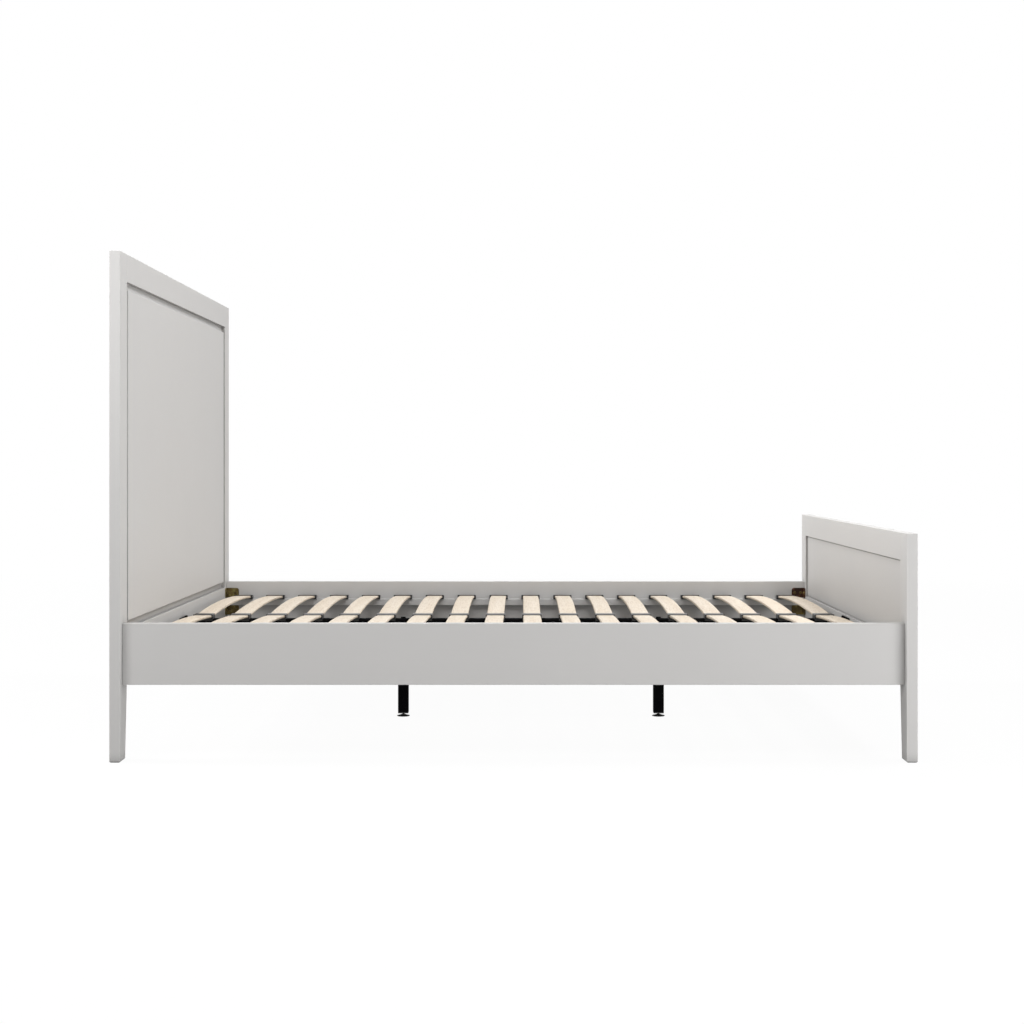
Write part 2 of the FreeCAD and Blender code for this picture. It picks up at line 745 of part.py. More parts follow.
def leg_plugs(label, seat, upwards):
    """The plugs in one end of both legs: a flange, and a spigot with a threaded bore."""
    piece = new_body(label)
    half = "dim.leg_tube / 2"
    spigot = f"({TUBE_BORE} / 2 - dim.plug_clearance)"
    slab(
        piece, "XY_Plane", f"{-upwards} * dim.plug_flange / 2", "dim.plug_flange",
        rectangle(f"-{half}", half, f"-{half}", half),
    )
    chamfer(piece, "dim.leg_tube_corner", lambda edge: runs_along(edge, "z"))
    slab(
        piece, "XY_Plane", f"{upwards} * dim.plug_depth / 2", "dim.plug_depth",
        rectangle(f"-{spigot}", spigot, f"-{spigot}", spigot),
    )
    through = "2 * (dim.plug_depth + dim.plug_flange)"
    if upwards > 0:
        bore = "dim.leveller_stud + 2 * dim.thread_clearance"
        slot(piece, "XY_Plane", "0", through, circles=[("0", "0", bore)])
    else:
        bore = "dim.leg_bolt_diameter + 2 * dim.thread_clearance"
        slot(piece, "XY_Plane", "0", through, hexagon("0", "0", bore))
    repeat(piece, "X_Axis", LEG_SPACING, "2")
    place(piece, LEG_PLACE[HEAD], "0", seat)
    return keep(piece)


def leg_bolts():
    """Hexagon bolts down through the centre rail into the tops of the legs."""
    piece = new_body("leg_bolts")
    slab(
        piece, "XY_Plane", "dim.leg_bolt_head_height / 2", "dim.leg_bolt_head_height",
        hexagon("0", "0", "dim.leg_bolt_head"),
    )
    slab(
        piece, "XY_Plane", "-dim.leg_bolt_length / 2", "dim.leg_bolt_length",
        hexagon("0", "0", "dim.leg_bolt_diameter"),
    )
    repeat(piece, "X_Axis", LEG_SPACING, "2")
    place(piece, LEG_PLACE[HEAD], "0", DECK)
    return keep(piece)


def revolved(piece, corners):
    """A turned piece: a half outline in the XZ plane, turned about the Z axis."""
    sketch = new_sketch(piece, "XZ_Plane", "0")
    draw_outline(sketch, corners)
    feature = piece.newObject("PartDesign::Revolution", "turned")
    feature.Profile = sketch
    feature.ReferenceAxis = (origin_part(piece, "Z_Axis"), [""])
    doc.recompute()
    return feature


def leveller(end):
    """A levelling foot: a dished pad moulded onto a threaded stud."""
    piece = new_body(f"leveller_{LEG_NAMES[end]}")
    stud_top = "(dim.leveller_height + dim.leveller_stud_length)"
    revolved(piece, [
        ("0", "0"),
        ("dim.leveller_diameter / 2", "0"),
        ("dim.leveller_diameter / 2", "dim.leveller_rim"),
        ("dim.leveller_boss / 2", "dim.leveller_height"),
        ("dim.leveller_stud / 2", "dim.leveller_height"),
        ("dim.leveller_stud / 2", stud_top),
        ("0", stud_top),
    ])
    place(piece, x=LEG_PLACE[end])
    return keep(piece)


# Slats and their holders

def draw_slat(sketch):
    """A bowed slat seen from the side: two equal arcs joined by its square ends."""
    inner, outer, crown = value(SLAT_INNER), value(SLAT_OUTER), value("dim.slat_crown")
    radius = value(SLAT_RADIUS)
    half_angle = math.asin(value(SLAT_CHORD) / 2 / radius)
    levels = ("0", "dim.slat_thickness")
    for level in levels:
        middle = FreeCAD.Vector((inner + outer) / 2, value(level) + crown - radius, 0)
        circle = Part.Circle(middle, FreeCAD.Vector(0, 0, 1), radius)
        upright = math.pi / 2
        arc = Part.ArcOfCircle(circle, upright - half_angle, upright + half_angle)
        number = sketch.addGeometry(arc)
        bow = sketch.addConstraint(Sketcher.Constraint("Radius", number, radius))
        sketch.setExpression(f"Constraints[{bow}]", SLAT_RADIUS)
    low, high = value(levels[0]), value(levels[1])
    for place_across in (inner, outer):
        start = FreeCAD.Vector(place_across, low, 0)
        end = FreeCAD.Vector(place_across, high, 0)
        sketch.addGeometry(Part.LineSegment(start, end))
    for arc, point, line, line_point in ((0, 2, 2, 1), (1, 2, 2, 2), (0, 1, 3, 1), (1, 1, 3, 2)):
        sketch.addConstraint(Sketcher.Constraint("Coincident", arc, point, line, line_point))
    for line, formula in ((2, SLAT_INNER), (3, SLAT_OUTER)):
        for point, level in zip((1, 2), levels):
            hold(sketch, "DistanceX", (line, point), formula)
            hold(sketch, "DistanceY", (line, point), level)


def slats():
    """Each row across the bed holds a left and a right slat."""
    right = new_body("slat_right")
    sketch = new_sketch(right, "YZ_Plane", "0")
    draw_slat(sketch)
    bent = right.newObject("PartDesign::Pad", "bent")
    bent.Profile = sketch
    bent.SideType = "Symmetric"
    bent.setExpression("Length", "dim.slat_width")
    left = mirrored(right, "slat_left", FreeCAD.Vector(0, 1, 0))
    doc.recompute()
    for number in range(COUNTS["slat_count"]):
        pair = group(f"slat_pair_{number + 1:02d}", [left, right])
        place(pair, x=f"{FIRST_SLAT} + {number} * {SLAT_PITCH}", z=SLAT_BOTTOM)
        keep(pair)


def wedge(closed, mouth, low, high):
    """The side of a holder or its socket. Its roof rises towards the mouth with the slat's bow."""
    rise = f"(abs({closed} - {mouth}) * {SLAT_SLOPE})"
    return [
        (closed, low),
        (mouth, low),
        (mouth, f"{high} + {rise}"),
        (closed, high),
    ]


def slat_holders():
    """Moulded sockets for the outer ends of the slats, one row on each cleat."""
    piece = new_body("slat_holders_right")
    mouth = f"({HOLDER_OUTER} - dim.holder_length)"
    outline = wedge(HOLDER_OUTER, mouth, "0", HOLDER_END_HEIGHT)
    slab(piece, "YZ_Plane", "0", HOLDER_WIDTH, outline)
    socket = wedge(
        f"({HOLDER_OUTER} - dim.holder_wall)", f"({mouth} - dim.cut_overrun)",
        "dim.holder_wall", f"({HOLDER_END_HEIGHT} - dim.holder_wall)",
    )
    slot(piece, "YZ_Plane", "0", POCKET_WIDTH, socket)
    repeat(piece, "X_Axis", SLAT_PITCH, "dim.slat_count")
    place(piece, FIRST_SLAT, "0", DECK)
    keep(piece)
    keep(mirrored(piece, "slat_holders_left", FreeCAD.Vector(0, 1, 0)))


def centre_holders():
    """Double sockets that clip over the centre rail and take two slat ends each."""
    piece = new_body("centre_holders")
    half = CENTRE_HOLDER_HALF
    lip = "(dim.centre_rail_width / 2 + dim.holder_clearance)"
    top = f"({HOLDER_END_HEIGHT} + {half} * {SLAT_SLOPE})"
    outline = [
        (f"-{lip}", "0"),
        (f"-{lip}", "-dim.centre_holder_lip"),
        (f"-{half}", "-dim.centre_holder_lip"),
        (f"-{half}", top),
        ("0", HOLDER_END_HEIGHT),
        (half, top),
        (half, "-dim.centre_holder_lip"),
        (lip, "-dim.centre_holder_lip"),
        (lip, "0"),
    ]
    slab(piece, "YZ_Plane", "0", HOLDER_WIDTH, outline)
    sockets = [
        wedge(
            f"{side} * (dim.holder_wall / 2)", f"{side} * ({half} + dim.cut_overrun)",
            "dim.holder_wall", f"({HOLDER_END_HEIGHT} - dim.holder_wall)",
        )
        for side in (LEFT, RIGHT)
    ]
    slot(piece, "YZ_Plane", "0", POCKET_WIDTH, *sockets)
    repeat(piece, "X_Axis", SLAT_PITCH, "dim.slat_count")
    place(piece, FIRST_SLAT, "0", DECK)
    return keep(piece)


# The whole bed

for end in (HEAD, FOOT):
    for side in (LEFT, RIGHT):
        post(end, side)
    board_rails(end)
    panel(end)
for side in (LEFT, RIGHT):
    side_rail(side)
    slat_cleat(side)
for end in (HEAD, FOOT):
    for side in (LEFT, RIGHT):
        corner_brackets(end, side)
bracket_screws()
centre_rail()
for end in (HEAD, FOOT):
    centre_rail_hanger(end)
hanger_screws()
for end in (HEAD, FOOT):
    centre_leg(end)
leg_plugs("leg_top_plugs", TUBE_TOP, -1)
leg_plugs("leg_bottom_plugs", TUBE_BOTTOM, 1)
leg_bolts()
for end in (HEAD, FOOT):
    leveller(end)
slats()
slat_holders()
centre_holders()
doc.recompute()

for part in doc.Objects:
    if "Invalid" in part.State or "Error" in part.State:
        raise RuntimeError(f"{part.Label} is {part.State}")
for node in nodes:
    if node.Shape.isNull() or not node.Shape.isValid():
        raise RuntimeError(f"{node.Label} has no valid shape")

os.makedirs("parts", exist_ok=True)
for node in nodes:
    node.Shape.exportStep(f"parts/{node.Label}.step")
    print(node.Label, len(node.Shape.Solids), round(node.Shape.Volume))
print(len(nodes), "nodes")
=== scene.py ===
import json
import math

import bmesh
import bpy
from mathutils import Matrix, Vector


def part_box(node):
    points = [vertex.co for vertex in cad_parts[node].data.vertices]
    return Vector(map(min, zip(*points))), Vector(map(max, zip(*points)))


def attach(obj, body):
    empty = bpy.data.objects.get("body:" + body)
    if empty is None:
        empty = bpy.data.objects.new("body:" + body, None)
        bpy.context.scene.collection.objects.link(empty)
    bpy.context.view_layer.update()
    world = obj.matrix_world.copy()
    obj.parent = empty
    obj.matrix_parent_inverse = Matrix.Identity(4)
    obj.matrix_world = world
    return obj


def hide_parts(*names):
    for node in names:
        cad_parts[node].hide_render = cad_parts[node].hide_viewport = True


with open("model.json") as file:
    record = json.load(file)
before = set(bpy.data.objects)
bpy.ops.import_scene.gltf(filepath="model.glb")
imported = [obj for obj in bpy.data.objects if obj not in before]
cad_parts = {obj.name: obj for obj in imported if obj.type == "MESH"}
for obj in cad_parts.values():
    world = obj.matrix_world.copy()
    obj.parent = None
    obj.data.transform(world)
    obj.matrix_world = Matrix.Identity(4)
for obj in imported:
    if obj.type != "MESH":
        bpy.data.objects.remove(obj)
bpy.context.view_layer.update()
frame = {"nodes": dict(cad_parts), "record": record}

# A painted panelled bed with a sprung slat deck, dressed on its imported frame.
# Lengths are metres. X runs from headboard to footboard, Y away from the camera and Z up.

MM = 0.001

# How closely lengths and directions are matched, and the angles from which an edge counts as a
# corner, as square, and as sharp in its shading
SAME_LENGTH = 0.01 * MM
SAME_DIRECTION = 0.9
CORNER_ANGLE = 0.6
SQUARE_ANGLE = 1.2
SMOOTH_ANGLE = math.radians(35)

# Camera, as the photograph was taken: level, a little left of the middle of the near side
PICTURE_SIDE = 1024
SENSOR = 36.0
FOCAL_PIXELS = 1690.1
VANISHING_COLUMN = 520.5
HORIZON_ROW = 463.0
CAMERA_PLACE = Vector((0.018, -5.123, 0.7662))

# Floor and sky. The camera and reflections see a floor that is mostly plain white, and all white
# from the far end of its fade on. The light that it throws back comes from a darker matt floor.
FLOOR_SIDE = 60.0
FLOOR_SHADE_SEEN = 0.90
FLOOR_SHADE_BOUNCED = 0.30
FLOOR_WHITE_SHARE = 0.955
FLOOR_FADE_START = 2.0
FLOOR_FADE_END = 7.0
SKY_STRENGTH = 0.15
WHITE = (1, 1, 1, 1)

# Softboxes round the bed: the place of each, the point that it faces, its two sides, and its power
# in watts
LAMPS = {
    "low_right": ((3.0, -3.6, 0.5), (0.8, -0.8, 0.3), (2.6, 0.8), 60),
    "front_top": ((0.0, -4.0, 4.5), (0.0, -0.5, 0.5), (3.0, 2.0), 99),
    "back": ((0.0, 4.0, 3.5), (0.0, 0.0, 0.5), (3.0, 2.0), 46),
    "high_right": ((2.4, -0.3, 4.0), (-1.0, 0.0, 0.9), (1.2, 1.2), 96),
    "far_left": ((-12.0, 0.5, 6.2), (1.0, 0.0, 0.5), (3.5, 3.5), 1480),
    "near_left": ((-1.7, -1.8, 1.5), (-1.0, -0.8, 1.1), (0.8, 0.8), 10),
    "near_right": ((1.3, -2.8, 0.7), (1.0, -0.8, 0.4), (0.8, 0.8), 4),
}

# Painted shade in inner corners: how far it reaches, and how dark it paints a finish in them below
# and above a pair of heights. The deeper painted shade under the far cleat reaches further.
CORNER_REACH = 28 * MM
SHADE_HEIGHTS = (390 * MM, 750 * MM)
CLEAT_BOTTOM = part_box("slat_cleat_right")[0].z
CLEAT_REACH = 80 * MM
CLEAT_HEIGHTS = (CLEAT_BOTTOM - 2 * MM, CLEAT_BOTTOM)
PAINT_SHADE = (0.42, 0.42)
NEAR_RAIL_SHADE = (0.5, 0.5)
FAR_RAIL_SHADE = (0.1, 0.88)
HEAD_PANEL_SHADE = (0.3, 0.84)
FOOT_PANEL_SHADE = (0.2, 0.2)
BIRCH_SHADE = (0.5, 0.5)

# Tones. Paint has a dark, a light and a grain tone, and birch a pair for its duller and its paler
# slats. Other pairs and threes are mottled together.
PAINT_TONES = ((0.604, 0.594, 0.584), (0.626, 0.616, 0.606), (0.587, 0.576, 0.563))
FOOT_PANEL_BRIGHTNESS = 0.97
BIRCH_TONES = ((0.930, 0.824, 0.690), (0.965, 0.862, 0.728))
FIGURE_TONE = (0.850, 0.725, 0.570)
GRAIN_TONE = (0.640, 0.520, 0.380)
FLECK_TONE = (0.520, 0.385, 0.255)
CROSS_PLY_TONE = (0.560, 0.440, 0.310)
GLUE_TONE = (0.300, 0.210, 0.140)
HOLDER_TONES = ((0.010, 0.010, 0.0105), (0.016, 0.016, 0.0165))
PLUG_TONES = ((0.004, 0.004, 0.0045), (0.007, 0.007, 0.0075))
COAT_TONES = ((0.003, 0.003, 0.0035), (0.006, 0.006, 0.0065))
PAD_TONES = ((0.006, 0.006, 0.0065), (0.010, 0.010, 0.0105))
STUD_TONE = (0.16, 0.155, 0.15)
OLIVE_TONES = ((0.150, 0.105, 0.030), (0.330, 0.290, 0.110), (0.085, 0.060, 0.022))
BROWN_TONES = ((0.055, 0.022, 0.012), (0.190, 0.080, 0.040), (0.030, 0.014, 0.010))

# Grain: how fine it is along X, Y and Z under the paint, and how far apart two slats may be taken
# from the same birch
UPRIGHT_GRAIN = (160, 160, 5)
LENGTHWISE_GRAIN = (5, 160, 160)
CROSSWISE_GRAIN = (160, 5, 160)
PANEL_GRAIN = (30, 30, 30)
SLAT_SHIFT = 7.0

# Places on the bed, read from the frame
HEAD, FOOT = -1, 1
LEFT, RIGHT = -1, 1
END_NAMES = {HEAD: "head", FOOT: "foot"}
SIDE_NAMES = {LEFT: "left", RIGHT: "right"}
BOARD_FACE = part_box("side_rail_right")[1].x
RAIL_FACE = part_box("side_rail_right")[0].y
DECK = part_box("slat_holders_right")[0].z

# Slats
SLAT_COUNT = sum(name.startswith("slat_pair_") for name in frame["nodes"])
SLAT_LOW, SLAT_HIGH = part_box("slat_pair_01")
SLAT_PITCH = (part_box(f"slat_pair_{SLAT_COUNT}")[0].x - SLAT_LOW.x) / (SLAT_COUNT - 1)
SLAT_THICKNESS = 8 * MM
SLAT_CROWN = 11.5 * MM
SLAT_EDGE_RADIUS = 3.8 * MM
SLAT_END_RADIUS = 0.6 * MM
SLAT_PLIES = 7
SLAT_STEPS = 28
CLEARANCE = 0.3 * MM
HOLDER_WALL = 2 * MM
HOLDER_SIDE_WALL = 4.5 * MM
CENTRE_SIDE_WALL = 2.4 * MM
SLAT_INNER = HOLDER_WALL / 2 + CLEARANCE
SLAT_OUTER = SLAT_HIGH.y
SLAT_MIDDLE = (SLAT_INNER + SLAT_OUTER) / 2
SLAT_CHORD = SLAT_OUTER - SLAT_INNER
SLAT_SLOPE = 4 * SLAT_CROWN / SLAT_CHORD
SLAT_RADIUS = (SLAT_CHORD ** 2 / 4 + SLAT_CROWN ** 2) / (2 * SLAT_CROWN)
SLAT_CENTRE_HEIGHT = SLAT_LOW.z + SLAT_THICKNESS + SLAT_CROWN - SLAT_RADIUS

# Shares of a ply: how near to its edge the glue shows, and how much of the top one stays clear
GLUE_LINE_SHARE = 0.07
CLEAR_TOP_SHARE = 0.3

# Slat holders
HOLDER_LOW, HOLDER_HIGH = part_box("slat_holders_right")
HOLDER_WIDTH = HOLDER_HIGH.x - HOLDER_LOW.x - (SLAT_COUNT - 1) * SLAT_PITCH
HOLDER_LENGTH = HOLDER_HIGH.y - HOLDER_LOW.y
HOLDER_END_HEIGHT = SLAT_THICKNESS + 2 * (CLEARANCE + HOLDER_WALL)
HOLDER_CORNER = 5 * MM
HOLDER_EDGE = 0.6 * MM
CENTRE_HOLDER_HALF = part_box("centre_holders")[1].y
CENTRE_LIP_THICKNESS = 1.7 * MM
CENTRE_LIP_INSIDE = CENTRE_HOLDER_HALF - CENTRE_LIP_THICKNESS
CENTRE_LIP_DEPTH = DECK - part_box("centre_holders")[0].z

# Corner brackets, hangers, screws and bolts
BRACKET_THICKNESS = 3 * MM
HANGER_THICKNESS = 3 * MM
BRACKET_HEIGHT = 33 * MM
BRACKET_CORNER = 8 * MM
BRACKET_BEND = 3.5 * MM
BRACKET_EDGE = 0.35 * MM
BRACKET_RAIL_SCREWS = (14 * MM, 34 * MM)
BRACKET_POST_SCREW = 12 * MM
SCREW_ACROSS = 8 * MM
SCREW_HEAD_HEIGHT = 3 * MM
SCREW_FLANGE = 10.4 * MM
SCREW_FLANGE_HEIGHT = 0.8 * MM
SCREW_SHANK = 5 * MM
SCREW_LENGTH = 20 * MM
BOLT_ACROSS = 13 * MM
BOLT_HEAD_HEIGHT = 5 * MM
BOLT_FLANGE = 1.2 * BOLT_ACROSS
BOLT_FLANGE_HEIGHT = 0.15 * BOLT_HEAD_HEIGHT
BOLT_SHANK = 8 * MM
BOLT_LENGTH = 60 * MM
HEX_SIDES = 6
ROUND_SIDES = 24

# The share of a head's height that its chamfer takes, of its width that its flat top keeps, and of
# a shank's width that its point keeps
HEAD_CHAMFER_SHARE = 0.12
HEAD_TOP_SHARE = 0.97
POINT_SHARE = 0.1

# Turns of a screw from upright to pointing into a board or a side rail
INWARD_X = {
    HEAD: Matrix.Rotation(math.pi / 2, 4, "Y"), FOOT: Matrix.Rotation(-math.pi / 2, 4, "Y"),
}
INWARD_Y = {
    LEFT: Matrix.Rotation(-math.pi / 2, 4, "X"), RIGHT: Matrix.Rotation(math.pi / 2, 4, "X"),
}

# Levelling feet. The dome rises in equal steps, each drawn in to a share of the way from the rim to
# the boss, and then in a last step to the boss.
LEVELLER_RADIUS = 19 * MM
LEVELLER_HEIGHT = 5 * MM
LEVELLER_RIM = 0.35 * LEVELLER_HEIGHT
LEVELLER_DOME = LEVELLER_HEIGHT - LEVELLER_RIM
LEVELLER_BOSS_RADIUS = 8 * MM
LEVELLER_EDGE = 0.4 * MM
DOME_SHARES = (0.35, 0.6, 0.8, 0.93)
DOME_STEP = 0.16 * LEVELLER_DOME
DOME_LAST_STEP = 0.36 * LEVELLER_DOME
STUD_RADIUS = 4 * MM
STUD_ROOT_RADIUS = 3.4 * MM
STUD_LENGTH = 40 * MM
THREAD_PITCH = 1.25 * MM
THREAD_TURNS = int(STUD_LENGTH / THREAD_PITCH) - 1
LEVELLER_SIDES = 48

# Softened edges of the CAD pieces that keep their shapes
WELD_REACH = 0.005 * MM
HARD_EDGE_ANGLE = math.radians(30)
PAINTED_EDGE = 0.3 * MM
STEEL_EDGE = 0.3 * MM
PLUG_EDGE = 0.4 * MM


# Modelling helpers

def start_block(name, low, high):
    """A block between two corners, left in edit mode as the start of a piece."""
    bpy.ops.object.select_all(action="DESELECT")
    bpy.ops.mesh.primitive_cube_add(size=1, location=(0, 0, 0))
    piece = bpy.context.object
    piece.name = piece.data.name = name
    bpy.ops.object.mode_set(mode="EDIT")
    bpy.ops.transform.resize(value=high - low)
    bpy.ops.transform.translate(value=(low + high) / 2)
    return piece


def pick(piece, kind, wanted):
    """Selects just those vertices, edges or faces of a piece in edit mode that pass a test."""
    bpy.ops.mesh.select_mode(type=kind)
    bpy.ops.mesh.select_all(action="DESELECT")
    shape = bmesh.from_edit_mesh(piece.data)
    parts = {"VERT": shape.verts, "EDGE": shape.edges, "FACE": shape.faces}[kind]
    for part in parts:
        if wanted(part):
            part.select_set(True)
    shape.select_flush_mode()
    bmesh.update_edit_mesh(piece.data)


def middle(edge):
    """The middle point of an edge."""
    return (edge.verts[0].co + edge.verts[1].co) / 2


def runs_along(edge, axis):
    """Whether an edge runs along an axis, given as x, y or z."""
    direction = (edge.verts[1].co - edge.verts[0].co).normalized()
    return abs(getattr(direction, axis)) > SAME_DIRECTION


def near(first, second):
    """Whether two lengths are the same to a hundredth of a millimetre."""
    return abs(first - second) < SAME_LENGTH


def round_edges(piece, width, wanted, segments):
    """Rounds the wanted edges of a piece in edit mode."""
    pick(piece, "EDGE", wanted)
    bpy.ops.mesh.bevel(offset=width, segments=segments, affect="EDGES", clamp_overlap=True)


def cut_at(axis, place):
    """Cuts the whole piece in edit mode with a plane across an axis."""
    bpy.ops.mesh.select_all(action="SELECT")
    point, normal = Vector(), Vector()
    setattr(point, axis, place)
    setattr(normal, axis, 1)
    bpy.ops.mesh.bisect(plane_co=point, plane_no=normal)


def end_piece(piece):
    """Leaves edit mode with all normals outward and soft shading between sharp edges."""
    bpy.ops.mesh.select_all(action="SELECT")
    bpy.ops.mesh.normals_make_consistent(inside=False)
    bpy.ops.object.mode_set(mode="OBJECT")
    bpy.ops.object.shade_smooth_by_angle(angle=SMOOTH_ANGLE)
    return piece


def copy_piece(source, name, change):
    """A copy of a piece with its own mesh, moved, turned or mirrored by a matrix."""
    piece = bpy.data.objects.new(name, source.data.copy())
    piece.data.name = name
    piece.data.transform(change)
    bpy.context.scene.collection.objects.link(piece)
    if change.determinant() < 0:
        piece.data.flip_normals()
    return piece


def mount(piece, body, slot, material, *nodes):
    """Fixes a piece to its CAD body, paints it and hides the nodes that it stands for."""
    piece.data.materials.clear()
    piece.data.materials.append(material)
    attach(piece, body)
    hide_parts(*nodes)


# Material helpers

def node(tree, kind, values=None, links=None, **settings):
    """Adds a shader node with its settings, socket values and incoming links."""
    made = tree.nodes.new(kind)
    for name, setting in settings.items():
        setattr(made, name, setting)
    for socket, number in (values or {}).items():
        made.inputs[socket].default_value = number
    for socket, source in (links or {}).items():
        tree.links.new(source, made.inputs[socket])
    return made


def maths(tree, operation, first, second=None):
    """The result of an operation on one or two terms, each a socket or a number."""
    made = node(tree, "ShaderNodeMath", operation=operation)
    for number, term in enumerate((first, second)):
        if term is None:
            continue
        if isinstance(term, (int, float)):
            made.inputs[number].default_value = term
        else:
            tree.links.new(term, made.inputs[number])
    return made.outputs[0]


def noise(tree, place, scale, detail, stretch=(1, 1, 1)):
    """Noise over the object's own coordinates, finer along the axes that are stretched."""
    mapping = node(tree, "ShaderNodeMapping", {"Scale": stretch}, {"Vector": place})
    made = node(
        tree, "ShaderNodeTexNoise", {"Scale": scale, "Detail": detail},
        {"Vector": mapping.outputs[0]},
    )
    return made.outputs["Fac"]


def blend_colours(tree, share, first, second):
    """A mix of two colours, each a socket or plain numbers, by a share."""
    made = node(tree, "ShaderNodeMix", data_type="RGBA")
    tree.links.new(share, made.inputs["Factor"])
    for socket, colour in ((made.inputs[6], first), (made.inputs[7], second)):
        if isinstance(colour, tuple):
            socket.default_value = (*colour, 1)
        else:
            tree.links.new(colour, socket)
    return made.outputs[2]


def between(tree, share, low, high):
    """Turns a share from nought to one into a value between two numbers."""
    made = node(tree, "ShaderNodeMapRange", {"To Min": low, "To Max": high}, {"Value": share})
    return made.outputs[0]


def step_up(tree, share, start, end):
    """Nought below the start, one above the end, and even in between."""
    made = node(tree, "ShaderNodeMapRange", {"From Min": start, "From Max": end}, {"Value": share})
    return made.outputs[0]


def new_material(name, specular=0.5):
    """A node material, with its tree, its shader and the object's own coordinates."""
    material = bpy.data.materials.new(name)
    material.use_nodes = True
    tree = material.node_tree
    shader = tree.nodes["Principled BSDF"]
    shader.inputs["Specular IOR Level"].default_value = specular
    place = node(tree, "ShaderNodeTexCoord").outputs["Object"]
    return material, tree, shader, place


def add_bump(tree, shader, height, depth):
    """Gives a shader a relief of this depth."""
    bump = node(tree, "ShaderNodeBump", {"Strength": 1.0, "Distance": depth}, {"Height": height})
    tree.links.new(bump.outputs[0], shader.inputs["Normal"])


def shade_corners(tree, place, colour, shades, heights=SHADE_HEIGHTS, reach=CORNER_REACH):
    """Paints shade into a colour towards inner corners, where little light comes in."""
    height = node(tree, "ShaderNodeSeparateXYZ", links={"Vector": place}).outputs["Z"]
    darkest = between(tree, step_up(tree, height, *heights), *shades)
    openness = node(
        tree, "ShaderNodeAmbientOcclusion", {"Distance": reach}, samples=8,
    ).outputs["AO"]
    lightened = maths(tree, "MULTIPLY", openness, maths(tree, "SUBTRACT", 1.0, darkest))
    shade = maths(tree, "ADD", darkest, lightened)
    return node(
        tree, "ShaderNodeVectorMath", operation="SCALE", links={0: colour, "Scale": shade},
    ).outputs[0]


# Materials

def satin_paint(name, stretch, shades=PAINT_SHADE, brightness=1.0, **corners):
    """Warm white satin paint over wood, with a trace of the wood's grain and painted shade in its
    inner corners.
    """
    material, tree, shader, place = new_material(name, 0.4)
    grain = noise(tree, place, 1.0, 4.0, stretch)
    cloud = noise(tree, place, 3.5, 2.0)
    peel = noise(tree, place, 900.0, 1.0)
    dark, light, veined = (
        tuple(brightness * channel for channel in colour) for colour in PAINT_TONES
    )
    tone = blend_colours(tree, cloud, dark, light)
    grained = maths(tree, "MULTIPLY", grain, 0.35)
    painted = blend_colours(tree, grained, tone, veined)
    # Painted shade in inner corners
    shaded = shade_corners(tree, place, painted, shades, **corners)
    tree.links.new(shaded, shader.inputs["Base Color"])
    tree.links.new(between(tree, peel, 0.42, 0.56), shader.inputs["Roughness"])
    relief = maths(tree, "ADD", grain, maths(tree, "MULTIPLY", peel, 0.5))
    add_bump(tree, shader, relief, 0.03 * MM)
    return material


def birch():
    """Lacquered birch plywood: fine grain and flecks on top, plies along the sides, painted corner
    shade.
    """
    material, tree, shader, place = new_material("birch_slat", 0.1)
    split = node(tree, "ShaderNodeSeparateXYZ", links={"Vector": place})
    chance = node(tree, "ShaderNodeObjectInfo").outputs["Random"]
    moved = node(
        tree, "ShaderNodeCombineXYZ",
        links={"X": maths(tree, "MULTIPLY", chance, SLAT_SHIFT), "Y": chance, "Z": chance},
    )
    own = node(
        tree, "ShaderNodeVectorMath", operation="ADD",
        links={0: place, 1: moved.outputs[0]},
    ).outputs[0]
    figure = noise(tree, own, 1.0, 3.0, (40, 2.2, 40))
    grain = noise(tree, own, 1.0, 5.0, (420, 14, 420))
    fleck = noise(tree, own, 1.0, 3.0, (300, 30, 300))
    light = blend_colours(tree, chance, *BIRCH_TONES)
    tone = blend_colours(tree, step_up(tree, figure, 0.3, 0.75), light, FIGURE_TONE)
    lines = maths(tree, "MULTIPLY", step_up(tree, grain, 0.45, 0.8), 0.5)
    lined = blend_colours(tree, lines, tone, GRAIN_TONE)
    spots = maths(tree, "MULTIPLY", step_up(tree, fleck, 0.52, 0.70), 0.45)
    spotted = blend_colours(tree, spots, lined, FLECK_TONE)
    across = maths(tree, "SUBTRACT", maths(tree, "ABSOLUTE", split.outputs["Y"]), SLAT_MIDDLE)
    height = maths(tree, "SUBTRACT", split.outputs["Z"], SLAT_CENTRE_HEIGHT)
    squares = maths(
        tree, "ADD", maths(tree, "MULTIPLY", across, across),
        maths(tree, "MULTIPLY", height, height),
    )
    reach = maths(tree, "SQRT", squares)
    depth = maths(tree, "DIVIDE", maths(tree, "SUBTRACT", SLAT_RADIUS, reach), SLAT_THICKNESS)
    layer = maths(tree, "MULTIPLY", depth, float(SLAT_PLIES))
    odd = maths(tree, "GREATER_THAN", maths(tree, "MODULO", layer, 2.0), 1.0)
    into = maths(tree, "PINGPONG", layer, 0.5)
    glue = maths(tree, "LESS_THAN", into, GLUE_LINE_SHARE)
    inside = maths(tree, "GREATER_THAN", layer, CLEAR_TOP_SHARE)
    crossed = blend_colours(tree, maths(tree, "MULTIPLY", odd, 0.35), spotted, CROSS_PLY_TONE)
    seams = maths(tree, "MULTIPLY", maths(tree, "MULTIPLY", glue, inside), 0.45)
    glued = blend_colours(tree, seams, crossed, GLUE_TONE)
    # Painted shade in inner corners, such as at the slat ends inside the holders
    tree.links.new(shade_corners(tree, place, glued, BIRCH_SHADE), shader.inputs["Base Color"])
    tree.links.new(between(tree, grain, 0.38, 0.55), shader.inputs["Roughness"])
    add_bump(tree, shader, grain, 0.04 * MM)
    return material


